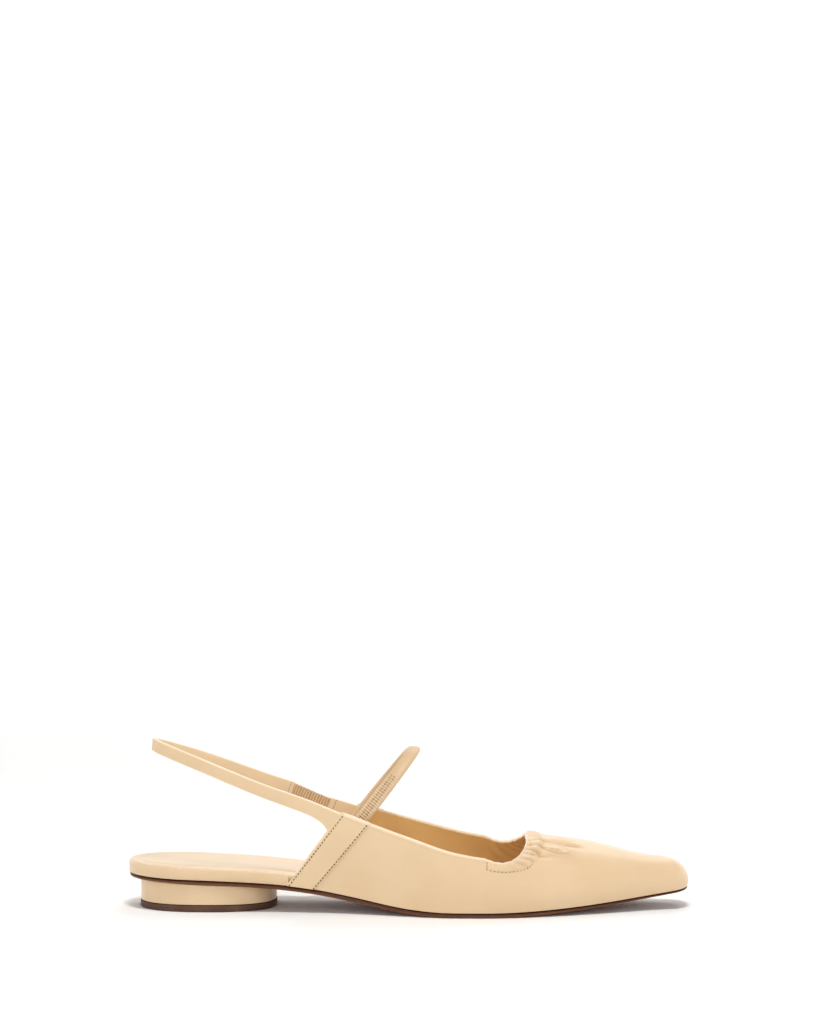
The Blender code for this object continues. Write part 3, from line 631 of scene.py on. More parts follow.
@dataclass(frozen=True)
class SoleLeather:
    """Stained and burnished sole leather, with painted shade as a dark band in the groove under the upper."""

    name: str
    face: Colour
    edge: Colour
    groove: Colour
    roughness: float = 0.42
    fibre_scale: float = 900.0
    cloud_scale: float = 40.0
    fibre_depth: float = 0.06 * MM

    def material(self) -> Material:
        """Builds the material from the height above the sole's lower edge, stored on the points.

        Returns:
            The material.
        """
        shade = Shade(self.name)
        fibre = shade.noise(self.fibre_scale, 4.0, 0.7)
        cloud = shade.noise(self.cloud_scale, 3.0).ranged(0.3, 0.75)
        base = shade.mix(cloud * 0.5, self.edge, self.face)
        base = shade.mix(fibre.ranged(0.45, 0.8) * 0.25, base, self.groove)
        # painted shade: the band just under the outsole's top is darkened as the groove's shadow
        base = shade.mix(shade.attribute("groove"), base, self.groove)
        relief = shade.bump(fibre, self.fibre_depth, 0.5)
        return shade.feed(Base_Color=base, Roughness=self.roughness + fibre * 0.15, Normal=relief,
                          Specular_IOR_Level=0.25)


@dataclass(frozen=True)
class Rubber:
    """Matt moulded rubber with a fine even grit."""

    name: str
    colour: Colour
    dusty: Colour
    roughness: float = 0.62
    grit_scale: float = 2200.0
    dust_scale: float = 120.0
    grit_depth: float = 0.05 * MM

    def material(self) -> Material:
        """Builds the material from grit and a little dust.

        Returns:
            The material.
        """
        shade = Shade(self.name)
        grit = shade.noise(self.grit_scale, 3.0)
        dust = shade.noise(self.dust_scale, 4.0).ranged(0.45, 0.8)
        base = shade.mix(dust * 0.4, self.colour, self.dusty)
        relief = shade.bump(grit, self.grit_depth, 0.5)
        return shade.feed(Base_Color=base, Roughness=self.roughness + grit * 0.2, Normal=relief)


@dataclass(frozen=True)
class Thread:
    """Waxed sewing thread."""

    name: str
    colour: Colour
    roughness: float = 0.6
    shadow: float = 0.55
    twist_scale: float = 3000.0
    twist_depth: float = 0.03 * MM

    def material(self) -> Material:
        """Builds the material from a fine twist.

        Returns:
            The material.
        """
        shade = Shade(self.name)
        twist = shade.noise(self.twist_scale)
        base = shade.mix(twist, self.colour, tuple(part * self.shadow for part in self.colour))
        relief = shade.bump(twist, self.twist_depth, 0.4)
        return shade.feed(Base_Color=base, Roughness=self.roughness + twist * 0.1, Normal=relief)


LEATHER = Leather("butter_leather", linear(226, 197, 158), linear(190, 148, 102), linear(250, 232, 204),
                  0.38, 0.18, Grain.SMOOTH)
LINING = Leather("tan_lining", linear(224, 178, 114), linear(164, 114, 58), linear(236, 200, 150),
                 0.58, 0.0, Grain.LINING)
SOCK = Leather("insole_leather", linear(224, 199, 167), linear(210, 178, 140), linear(240, 220, 194),
               0.46, 0.05, Grain.SMOOTH)
SOLE = SoleLeather("sole_edge_leather", linear(140, 92, 58), linear(108, 66, 42), linear(58, 28, 12))
RUBBER = Rubber("heel_rubber", linear(84, 58, 44), linear(112, 84, 66))
STRETCH = Leather("stretch_leather", linear(212, 181, 142), linear(168, 128, 86), linear(240, 216, 184),
                  0.48, 0.05, Grain.LINING)
THREAD = Thread("brown_thread", linear(66, 38, 18))
PALE_THREAD = Thread("tan_thread", linear(150, 108, 68))


def new_piece(name: str, mesh: bpy.types.Mesh, nodes: Sequence[str] = ()) -> bpy.types.Object:
    """Puts a finished mesh in the scene and ties it to the shoe.

    Args:
        name: the piece's name.
        mesh: its mesh, in the part's frame.
        nodes: CAD nodes that it stands for.

    Returns:
        The new object.
    """
    piece = added(name, mesh)
    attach(piece, "root")
    if nodes:
        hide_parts(*nodes)
    LOG.info("%s: %d faces", name, len(mesh.polygons))
    return piece


# attributes of the points: painted highlight, which pales the colour, and painted shade, which darkens it
MARKS = ("fold", "crease")
WELD = 0.002 * MM
SLIVER = 0.001 * MM


class Cloth:
    """A mesh gathered from grids of points that share their borders."""

    def __init__(self) -> None:
        """Starts empty."""
        self.points: List[Array] = []
        self.values: Dict[str, List[Array]] = {}
        self.faces: List[Tuple[int, ...]] = []
        self.kinds: List[int] = []
        self.count = 0

    def grid(self, points: Array, turned: bool = False, kind: int = 0, around: bool = False,
             **values: Array) -> None:
        """Adds a grid of faces.

        Args:
            points: columns by rows by 3.
            turned: whether the faces are flipped.
            kind: material index.
            around: whether the last row joins the first.
            values: attributes of the points.
        """
        columns, rows = points.shape[:2]
        ids = np.arange(columns * rows).reshape(columns, rows) + self.count
        if around:
            ids = np.concatenate([ids, ids[:, :1]], axis=1)
        quads = np.stack([ids[:-1, :-1], ids[1:, :-1], ids[1:, 1:], ids[:-1, 1:]], axis=-1).reshape(-1, 4)
        self.faces.extend(map(tuple, (quads[:, ::-1] if turned else quads).tolist()))
        self.kinds.extend([kind] * len(quads))
        self.points.append(points.reshape(-1, 3))
        for name in MARKS:
            filled = np.broadcast_to(np.asarray(values.get(name, 0.0), float), (columns, rows))
            self.values.setdefault(name, []).append(filled.reshape(-1))
        self.count += columns * rows

    def cap(self, ring: Array) -> None:
        """Closes a ring of points with a fan round its middle.

        Args:
            ring: its points, in order.
        """
        start = self.count
        self.points.append(np.concatenate([ring, ring.mean(axis=0, keepdims=True)]))
        for name in MARKS:
            self.values[name].append(np.zeros(len(ring) + 1))
        for step in range(len(ring)):
            self.faces.append((start + step, start + (step + 1) % len(ring), start + len(ring)))
            self.kinds.append(0)
        self.count += len(ring) + 1

    def tube(self, rings: Array, **values: Array) -> None:
        """Adds rings of points that are joined along their length, with both ends closed.

        Args:
            rings: sections by points by 3.
            values: attributes of the points.
        """
        self.grid(rings, around=True, **values)
        self.cap(rings[0])
        self.cap(rings[-1])

    def mesh(self, name: str, finishes: Sequence[Material], sharp: float = 60.0) -> bpy.types.Mesh:
        """Joins the grids into one closed mesh with its faces pointing out.

        Args:
            name: the mesh's name.
            finishes: materials in the order of the kinds.
            sharp: angle in degrees above which an edge stays sharp.

        Returns:
            The mesh, shaded smooth.
        """
        mesh = bpy.data.meshes.new(name)
        mesh.from_pydata(np.concatenate(self.points).tolist(), [], self.faces)
        for key, parts in self.values.items():
            layer = mesh.attributes.new(key, "FLOAT", "POINT")
            layer.data.foreach_set("value", np.concatenate(parts).astype(np.float32))
        mesh.polygons.foreach_set("material_index", self.kinds)
        shape = bmesh.new()
        shape.from_mesh(mesh)
        bmesh.ops.remove_doubles(shape, verts=shape.verts, dist=WELD)
        bmesh.ops.dissolve_degenerate(shape, dist=SLIVER, edges=shape.edges)
        bmesh.ops.recalc_face_normals(shape, faces=shape.faces)
        if shape.calc_volume(signed=True) < 0.0:
            bmesh.ops.reverse_faces(shape, faces=shape.faces)
        loose = sum(1 for edge in shape.edges if len(edge.link_faces) != 2)
        LOG.info("%s: %d open edges", name, loose)
        shape.to_mesh(mesh)
        shape.free()
        for finish in finishes:
            mesh.materials.append(finish)
        mesh.shade_smooth()
        mesh.set_sharp_from_angle(angle=math.radians(sharp))
        return mesh


class ThreadRuns:
    """Rows of stitches, laid along paths by Geometry Nodes."""

    def __init__(self) -> None:
        """Builds the node tree once."""
        tree = bpy.data.node_groups.new("thread_run", "GeometryNodeTree")
        sockets = (("Path", "Geometry"), ("Pitch", "Float"), ("Length", "Float"), ("Radius", "Float"),
                   ("Thread", "Material"))
        for name, kind in sockets:
            tree.interface.new_socket(name, in_out="INPUT", socket_type=f"NodeSocket{kind}")
        tree.interface.new_socket("Stitches", in_out="OUTPUT", socket_type="NodeSocketGeometry")
        self.tree = tree
        start, end = tree.nodes.new("NodeGroupInput"), tree.nodes.new("NodeGroupOutput")
        given = start.outputs
        curve = self.add("GeometryNodeMeshToCurve", Mesh=given["Path"])
        even = self.add("GeometryNodeResampleCurve", {"mode": "LENGTH"}, Curve=curve, Length=given["Pitch"])
        bead = self.add("GeometryNodeMeshIcoSphere", Radius=1.0, Subdivisions=1)
        tangent = self.add("GeometryNodeInputTangent")
        turn = self.add("FunctionNodeAlignRotationToVector", {"axis": "X"}, Vector=tangent)
        size = self.add("ShaderNodeCombineXYZ", X=given["Length"], Y=given["Radius"], Z=given["Radius"])
        spread = self.add("GeometryNodeInstanceOnPoints", Points=even, Instance=bead, Rotation=turn,
                          Scale=size)
        real = self.add("GeometryNodeRealizeInstances", Geometry=spread)
        done = self.add("GeometryNodeSetMaterial", Geometry=real, Material=given["Thread"])
        tree.links.new(done, end.inputs["Stitches"])

    def add(self, kind: str, settings: Optional[Dict] = None, **inputs: object) -> bpy.types.NodeSocket:
        """Adds one node and gives its first output."""
        return add_node(self.tree, kind, settings or {}, inputs).outputs[0]

    def sew(self, name: str, paths: Sequence[Array], thread: Material, pitch: float,
            length: float, radius: float) -> None:
        """Makes one piece of all the stitches along some paths.

        Args:
            name: the piece's name.
            paths: each an array of points on the surface.
            thread: the thread's material.
            pitch: distance from stitch to stitch.
            length: half the length of a stitch.
            radius: half the thickness of a stitch.
        """
        points, edges = [], []
        for path in paths:
            first = len(points)
            points.extend(path.tolist())
            edges.extend((first + step, first + step + 1) for step in range(len(path) - 1))
        guide = bpy.data.meshes.new(name + "_path")
        guide.from_pydata(points, edges, [])
        holder = added(name + "_path", guide)
        modifier = holder.modifiers.new("thread_run", "NODES")
        modifier.node_group = self.tree
        sockets = self.tree.interface.items_tree
        keys = {item.name: item.identifier for item in sockets if item.in_out == "INPUT"}
        for key, value in (("Pitch", pitch), ("Length", length), ("Radius", radius), ("Thread", thread)):
            modifier[keys[key]] = value
        graph = bpy.context.evaluated_depsgraph_get()
        mesh = bpy.data.meshes.new_from_object(holder.evaluated_get(graph))
        bpy.data.objects.remove(holder)
        mesh.name = name
        mesh.shade_smooth()
        new_piece(name, mesh)


class Fold(NamedTuple):
    """A soft trough, or a ridge where its depth is negative, between two places on the vamp.

    from_q and to_q are stations in mm, from_turn and to_turn section angles in degrees.
    """

    from_q: float
    from_turn: float
    to_q: float
    to_turn: float
    width: float
    depth: float


OUTER_FOLDS = tuple(Fold(*row) for row in (
    (60.5, 76, 86.0, 67, 1.2, 0.80), (61.0, 82, 84.0, 80, 1.8, -0.40), (60.0, 66, 77.0, 57, 1.1, 0.65),
    (60.5, 71, 78.0, 62, 1.4, -0.40), (53.5, 59, 66.0, 51, 1.1, 0.50), (57.0, 62, 68.0, 54, 1.3, -0.30),
    (49.0, 53, 56.0, 46, 0.9, 0.35), (61.5, 86, 79.0, 87, 1.1, 0.45), (59.0, 56, 84.0, 52, 3.2, 0.30),
))
INNER_FOLDS = tuple(Fold(*row) for row in (
    (61.0, 79, 80.0, 73, 1.3, 0.65), (60.5, 68, 76.0, 60, 1.3, 0.60), (61.0, 74, 79.0, 67, 1.5, -0.35),
    (55.0, 58, 68.0, 50, 1.1, 0.50), (58.0, 63, 70.0, 55, 1.3, -0.30), (49.5, 52, 57.0, 45, 0.9, 0.35),
    (59.0, 55, 82.0, 50, 3.0, 0.25),
))


@dataclass
class Upper:
    """The hollow upper: vamp, quarters, diagonal band and the gathered throat casing."""

    last: Last
    wall: float = 1.6 * MM
    clearance: float = 0.3 * MM
    band_step: float = 0.75 * MM
    casing_step: float = 1.7 * MM
    casing_width: float = 7.2 * MM
    casing_side: float = 4.1 * MM
    casing_sewn: float = 58.5 * MM
    pleat_pitch: float = 4.4 * MM
    border_foot: float = -56.1 * MM
    border_head: float = -29.9 * MM
    inner_shift: float = 5.5 * MM
    topline: float = 47.0 * MM
    throat_front: float = 56.3 * MM
    throat_corner: float = 36.5 * MM
    throat_power: float = 2.5
    corner_lean: float = 1.5 * MM
    throat_lean: float = 7.0 * MM
    # diagonal band and its two seams
    band_low: float = 12.9 * MM
    band_rear: Tuple[float, float] = (-56.1 * MM, -29.4 * MM)
    band_front: Tuple[float, float] = (-41.6 * MM, -12.5 * MM)
    slant: float = 0.75
    seam_inset: float = 0.75 * MM
    seam_width: float = 0.3 * MM
    seam_groove: float = 0.12 * MM
    bead: float = 0.28 * MM
    bead_width: float = 1.0 * MM
    wrinkled: Tuple[float, float] = (6.0 * MM, 17.0 * MM)
    # gathers of the casing, and the creases that run out of them
    gather_depth: float = 1.3 * MM
    wave: float = 1.4 * MM
    wave_length: float = 5.3 * MM
    beat_length: float = 2.3 * MM
    beat: float = 0.14
    skew: float = 0.6
    puff_power: float = 0.55
    puff_share: float = 0.85
    side_roll: float = 0.18
    early_drawn: float = 0.2
    band_slope: Tuple[float, float] = (-0.15 * MM, 0.45 * MM)
    # painted shade along the band's seams and in the folds' troughs, painted highlight along the opening's
    # edge
    seam_shadow: float = 0.28 * MM
    edge_shine: float = 0.4 * MM
    deepest: float = 1.1 * MM
    fold_depth: float = 2.1
    fold_spread: float = 0.85
    # thread
    thread_inset: float = 0.7 * MM
    thread_lift: float = 0.03 * MM
    thread_margins: Tuple[float, float] = (0.6 * MM, 0.9 * MM)
    line_steps: int = 120
    casing_steps: int = 400
    casing_rounds: int = 40
    end_steps: int = 8
    end_clear: float = 0.03
    # steps of the mesh
    rows: int = 60
    quarter_steps: int = 130
    corner_steps: int = 64
    ridge_steps: int = 84
    rim_steps: int = 4
    edges: Dict[Side, Array] = field(default_factory=dict)

    def __post_init__(self) -> None:
        """Draws the toplines and the edge of the opening."""
        run = self.throat_corner - self.border_head
        at = [self.border_head + row[0] * run for row in TOPLINE]
        self.tops = {
            Side.OUTER: track(at, [row[1] * self.topline for row in TOPLINE], self.last.smooth),
            Side.INNER: track(at, [row[2] * self.topline for row in TOPLINE], self.last.smooth),
        }
        for side in Side:
            self.edges[side] = self.last.point(*self.opening(side, 200, 120), side)

    def shift(self, side: Side) -> float:
        """How much further forward the rear of this side's quarter lies."""
        return self.inner_shift if side is Side.INNER else 0.0

    def started(self, x: Array) -> Array:
        """How far round the throat a place along the shoe lies, from 0 to 1."""
        return np.clip((x - self.throat_corner) / (self.throat_front - self.throat_corner), 0, 1)

    def border(self, side: Side) -> Tuple[float, float]:
        """Foot and head of the quarter's rear edge."""
        return self.border_foot + self.shift(side), self.border_head + self.shift(side)

    def seam_line(self, ends: Tuple[float, float], rise: Array, side: Side) -> Array:
        """Stations of one of the band's seams at shares of its height."""
        return ends[0] + (ends[1] - ends[0]) * rise + self.shift(side)

    def opening(self, side: Side, quarter_steps: int, corner_steps: int) -> Tuple[Array, Array]:
        """Stations and angles of the top edge, from the quarter's head to the throat's middle.

        Args:
            side: side of the foot.
            quarter_steps: steps along the quarter.
            corner_steps: steps round the throat.

        Returns:
            The stations and the angles.
        """
        head = self.border(side)[1]
        q = np.linspace(head, self.throat_corner, quarter_steps + 1)
        angle = self.last.angle_at(q, self.tops[side](q), side)
        share = np.arange(1, corner_steps + 1) / corner_steps
        reach, left = self.last.round_end(share, 1.0, self.throat_power)
        turned_q = self.throat_corner + (self.throat_front - self.throat_corner) * reach
        turned = math.pi / 2 - (math.pi / 2 - angle[-1]) * left
        return np.concatenate([q, turned_q]), np.concatenate([angle, turned])

    def columns(self, side: Side) -> Tuple[Array, Array, Array]:
        """Foot station, head station and head angle of each column of the wall.

        Args:
            side: side of the foot.

        Returns:
            The three arrays.
        """
        head_q, head_angle = self.opening(side, self.quarter_steps, self.corner_steps)
        corner, throat = self.throat_corner + self.corner_lean, self.throat_front + self.throat_lean
        quarter = np.linspace(self.border(side)[0], corner, self.quarter_steps + 1)
        turn = np.linspace(corner, throat, self.corner_steps + 1)[1:]
        share = np.arange(1, self.ridge_steps + 1) / self.ridge_steps
        ridge = throat + (self.last.toe_end - throat) * share
        ridge_q = self.throat_front + (self.last.toe_end - self.throat_front) * share
        feet = np.concatenate([quarter, turn, ridge])
        heads = np.concatenate([head_q, ridge_q])
        return feet, heads, np.concatenate([head_angle, np.full(self.ridge_steps, math.pi / 2)])

    def seam_distance(self, q: Array, angle: Array, side: Side) -> Tuple[Array, Array]:
        """Distances inside the band from its rear seam and from its front seam.

        Args:
            q: stations.
            angle: section angles.
            side: side of the foot.

        Returns:
            The two distances.
        """
        low = self.last.feather(q)
        height = low + np.sin(angle) * (self.last.crown(q) - low)
        rise = (height - self.band_low) / (self.topline - self.band_low)
        rear, front = (self.seam_line(ends, rise, side) for ends in (self.band_rear, self.band_front))
        return (q - rear) * self.slant, (front - q) * self.slant

    def edge_distance(self, points: Array, side: Side) -> Tuple[Array, Array]:
        """Distance of points to the opening's edge, and how far along it from the throat's middle.

        Args:
            points: places on the last, as columns by rows.
            side: side of the foot.

        Returns:
            The distance and the place along the edge.
        """
        edge = self.edges[side]
        runs = arc(edge)
        flat = points.reshape(-1, 3)
        near, along = np.empty(len(flat)), np.empty(len(flat))
        for start in range(0, len(flat), 4000):
            part = slice(start, start + 4000)
            gaps = np.linalg.norm(flat[part, None] - edge[None], axis=2)
            near[part] = gaps.min(axis=1)
            along[part] = runs[-1] - runs[gaps.argmin(axis=1)]
        return near.reshape(points.shape[:2]), along.reshape(points.shape[:2])

    def casing_reach(self, x: Array) -> Array:
        """Width of the casing at a place along the shoe."""
        return self.casing_side + (self.casing_width - self.casing_side) * self.started(x) ** 3

    def spread(self, side: Side, use: slice, shares: Array) -> Tuple[Array, ...]:
        """Stations, angles and points of the last at shares of the way up some columns.

        Args:
            side: side of the foot.
            use: which columns.
            shares: shares of the way up.

        Returns:
            The three arrays, as columns by rows.
        """
        foot, head, head_angle = (values[use, None] for values in self.columns(side))
        angle = head_angle * shares[None, :]
        q = foot + (head - foot) * np.sin(angle) / np.sin(head_angle)
        return q, angle, self.last.point(q, angle, side)

    def casing_line(self, side: Side) -> Tuple[Array, Array]:
        """Stations and angles of the seam that closes the casing, from its side end to the crown.

        Args:
            side: side of the foot.

        Returns:
            The stations and the angles.
        """
        use = slice(self.quarter_steps + 1, self.quarter_steps + self.corner_steps + 12)
        q, angle, points = self.spread(side, use, np.linspace(1.0, 0.0, self.casing_steps))
        share = self.edge_distance(points, side)[0] / self.casing_reach(points[..., 0])
        row = np.argmax(share >= 1.0, axis=1)
        column = np.arange(len(row))[row > 0]
        column = column[points[column, row[column], 0] < self.casing_sewn]
        line = np.stack([q[column, row[column]], angle[column, row[column]]], axis=-1)
        return tuple(relaxed(line, self.casing_rounds).T)

    def pleats(self, along: Array, near: Array) -> Array:
        """Gathers of the casing: 1 on each puff and 0 in the valley between two.

        Args:
            along: places along the edge.
            near: distances to the edge.

        Returns:
            The height of the gathers.
        """
        place = along + self.skew * near + self.wave * np.sin(along / self.wave_length + 0.8)
        puff = np.abs(np.cos(math.pi * place / self.pleat_pitch)) ** self.puff_power
        return puff * (1 - self.beat + self.beat * np.sin(along / self.beat_length + 1.1))

    def folds(self, points: Array, side: Side) -> Array:
        """Sum of the hand-placed folds that run from the gathers into the vamp.

        Args:
            points: places on the last, as columns by rows.
            side: side of the foot.

        Returns:
            The relief of the folds.
        """
        total = np.zeros(points.shape[:2])
        for row in OUTER_FOLDS if side is Side.OUTER else INNER_FOLDS:
            start = self.last.point(row.from_q * MM, math.radians(row.from_turn), side)
            end = self.last.point(row.to_q * MM, math.radians(row.to_turn), side)
            run = end - start
            share = np.clip(((points - start) @ run) / (run @ run), 0.0, 1.0)
            gap = np.linalg.norm(points - start - share[..., None] * run, axis=-1)
            fade = ease(share, -0.02, 0.12) * (1 - ease(share, 0.5, 1.0))
            width = self.fold_spread * row.width * MM * (1 + share)
            total -= row.depth * self.fold_depth * MM * fade * hump(gap, width)
        return total

    def relief(self, q: Array, angle: Array, points: Array, side: Side) -> Tuple[Array, ...]:
        """Height of the outer face above the last, with painted highlight on its folded places and painted
        shade in its creased places.

        Args:
            q: stations.
            angle: section angles.
            points: the same places on the last.
            side: side of the foot.

        Returns:
            Height, painted highlight share, painted shade share and how much of the casing's gathering there
            is.
        """
        rear, front = self.seam_distance(q, angle, side)
        inside = np.minimum(rear, front)
        band = ease(inside, *self.band_slope)
        near, along = self.edge_distance(points, side)
        started, reach = self.started(points[..., 0]), self.casing_reach(points[..., 0])
        across = np.clip(near / reach, 0.0, 1.0)
        roll = np.sqrt(np.maximum(1.0 - (2 * across - 1) ** 2, 0.0))
        early, late = ease(started, 0.15, 0.5), ease(started, 0.5, 0.95)
        drawn = self.early_drawn * early + (1 - self.early_drawn) * late
        gather = drawn * roll
        puff = self.pleats(along, near)
        casing = self.casing_step * roll * (self.side_roll + (1 - self.side_roll) * started)
        casing = casing * ease(started, 0.0, 0.08) * (1 - self.puff_share * drawn * (1 - puff))
        folds = self.folds(points, side) * ease(near / reach, 0.45, 0.95)
        bead = hump(near, self.bead_width) * (1 - ease(started, 0.1, 0.5))
        height = self.band_step * band + casing + folds + self.bead * bead
        height = height - self.seam_groove * hump(inside - self.seam_inset, self.seam_width)
        # painted shade at the band's seams, in the gathers' valleys and in the folds' troughs; painted
        # highlight along the opening's edge and on the puffs
        valley = gather * (1 - puff)
        sunk = np.clip(-folds / self.deepest, 0, 0.7)
        crease = np.clip(0.4 * hump(inside, self.seam_shadow) + valley * 0.8 + sunk, 0, 1)
        fold = np.clip(0.7 * hump(near, self.edge_shine) * (1 - 0.6 * started) + gather * puff * 0.35, 0, 1)
        wrinkle = ease(started, -0.05, 0.4) * (1 - ease(near, *self.wrinkled)) * (1 - puff) * 0.6
        return height, fold, crease, np.maximum(valley, wrinkle)

    def place(self, q: Array, angle: Array, side: Side) -> Array:
        """Points a little above the finished face, for thread, at stations and angles of a path.

        Args:
            q: stations.
            angle: section angles.
            side: side of the foot.

        Returns:
            The points.
        """
        step = 0.2 * MM
        points = self.last.point(q, angle, side)
        ahead = self.last.point(q + step, angle, side) - points
        above = self.last.point(q, angle + 0.01, side) - points
        out = unit(np.cross(ahead, above)) * -side.value
        height = self.relief(q[:, None], angle[:, None], points[:, None], side)[0][:, 0]
        return points + out * (height + self.thread_lift)[:, None]

    def sheets(self, side: Side) -> Dict[str, Array]:
        """Outer and inner face of one side as grids, with their attributes.

        Args:
            side: side of the foot.

        Returns:
            The grids by name.
        """
        q, angle, base = self.spread(side, slice(None), np.linspace(0.0, 1.0, self.rows + 1))
        along, up = np.gradient(base, axis=0), np.gradient(base, axis=1)
        normal = unit(np.cross(along, up)) * -side.value
        height, fold, crease, gather = self.relief(q, angle, base, side)
        lift = np.zeros_like(base)
        lift[:, 0, 2] = self.clearance
        outer = base + normal * height[..., None] + lift
        inner = base - normal * (self.wall + self.gather_depth * gather)[..., None] + lift
        return {"outer": outer, "inner": inner, "fold": fold, "crease": crease, "gather": gather}

    def rim(self, outer: Array, inner: Array, way: Array, full: Array) -> Array:
        """A rounded edge from the outer face to the inner one.

        Args:
            outer: points of the outer edge.
            inner: points of the inner edge.
            way: direction in which the edge stands out.
            full: how round it is at each point, from 0 to 1.

        Returns:
            Grid of points, from outer to inner along its rows.
        """
        turn = np.linspace(0.0, math.pi, self.rim_steps + 1)[None, :, None]
        middle, half = (outer + inner) / 2, (outer - inner) / 2
        reach = np.linalg.norm(half, axis=1)[:, None] * full[:, None]
        return middle[:, None] + half[:, None] * np.cos(turn) + (way * reach)[:, None] * np.sin(turn)

    def build(self, leather: Material, lining: Material) -> bpy.types.Object:
        """Makes the upper as one closed shell in place of its CAD node.

        Args:
            leather: the soft leather.
            lining: the lining.

        Returns:
            The piece.
        """
        cloth = Cloth()
        faces = {side: self.sheets(side) for side in Side}
        first = self.quarter_steps + self.corner_steps
        for key in ("outer", "inner"):
            ridge = (faces[Side.OUTER][key][first:, -1] + faces[Side.INNER][key][first:, -1]) / 2
            toe = (faces[Side.OUTER][key][-1] + faces[Side.INNER][key][-1]) / 2
            for side in Side:
                faces[side][key][first:, -1] = ridge
                faces[side][key][-1] = toe
        meet = unit(sum(faces[side]["outer"][first, -1] - faces[side]["outer"][first, -2] for side in Side))
        for side in Side:
            sheet, flip = faces[side], side is Side.INNER
            outer, inner = sheet["outer"], sheet["inner"]
            cloth.grid(outer, flip, 0, fold=sheet["fold"], crease=sheet["crease"])
            # the lining is darkened where it is gathered: painted shade
            cloth.grid(inner, not flip, 1, crease=sheet["gather"])
            up = unit(outer[:, -1] - outer[:, -2])
            back = unit(outer[0] - outer[1])
            corner = unit(up[0] + back[-1])
            up[0], back[-1], up[first] = corner, corner, meet
            top = slice(0, first + 1)
            head = self.rim(outer[top, -1], inner[top, -1], up[top], np.ones(first + 1))
            rounded = ease(np.linspace(0, 1, self.rows + 1), 0.0, 0.05)
            # painted highlight on the rounded top and rear edges
            cloth.grid(head, flip, 0, fold=0.6)
            cloth.grid(self.rim(outer[0], inner[0], back, rounded), not flip, 0, fold=0.4)
            cloth.grid(self.rim(outer[:, 0], inner[:, 0], up * 0, np.zeros(len(up))), not flip, 1)
        mesh = cloth.mesh("upper_leather", (leather, lining))
        return new_piece("upper_leather", mesh, ["upper"])

    def sew(self, runs: ThreadRuns, thread: Material) -> None:
        """Sews the two seams of each band and the casing's stitch line.

        Args:
            runs: the maker of stitches.
            thread: the thread's material.
        """
        seams, lines, ends = [], [], []
        rise = np.linspace(-0.2, 1.05, self.line_steps)
        low, high = self.thread_margins
        height = self.band_low + (self.topline - self.band_low) * rise
        for side in Side:
            for seam, way in ((self.band_rear, 1.0), (self.band_front, -1.0)):
                q = self.seam_line(seam, rise, side) + way * self.thread_inset / self.slant
                keep = (height > self.last.feather(q) + low) & (height < self.tops[side](q) - high)
                seams.append(self.place(q[keep], self.last.angle_at(q, height, side)[keep], side))
            q, angle = self.casing_line(side)
            lines.append(self.place(q, angle, side))
            edge = self.opening(side, self.quarter_steps, self.corner_steps)[1][self.quarter_steps]
            up = np.linspace(angle[0], edge - self.end_clear, self.end_steps)
            ends.append(self.place(np.full(self.end_steps, q[0]), up, side))
        for name, paths, pitch, length, radius in (("seam_stitches", seams, 1.7, 0.58, 0.28),
                                                   ("casing_stitches", lines, 1.8, 0.34, 0.22),
                                                   ("casing_ends", ends, 1.0, 0.3, 0.24)):
            runs.sew(name, paths, thread, pitch * MM, length * MM, radius * MM)


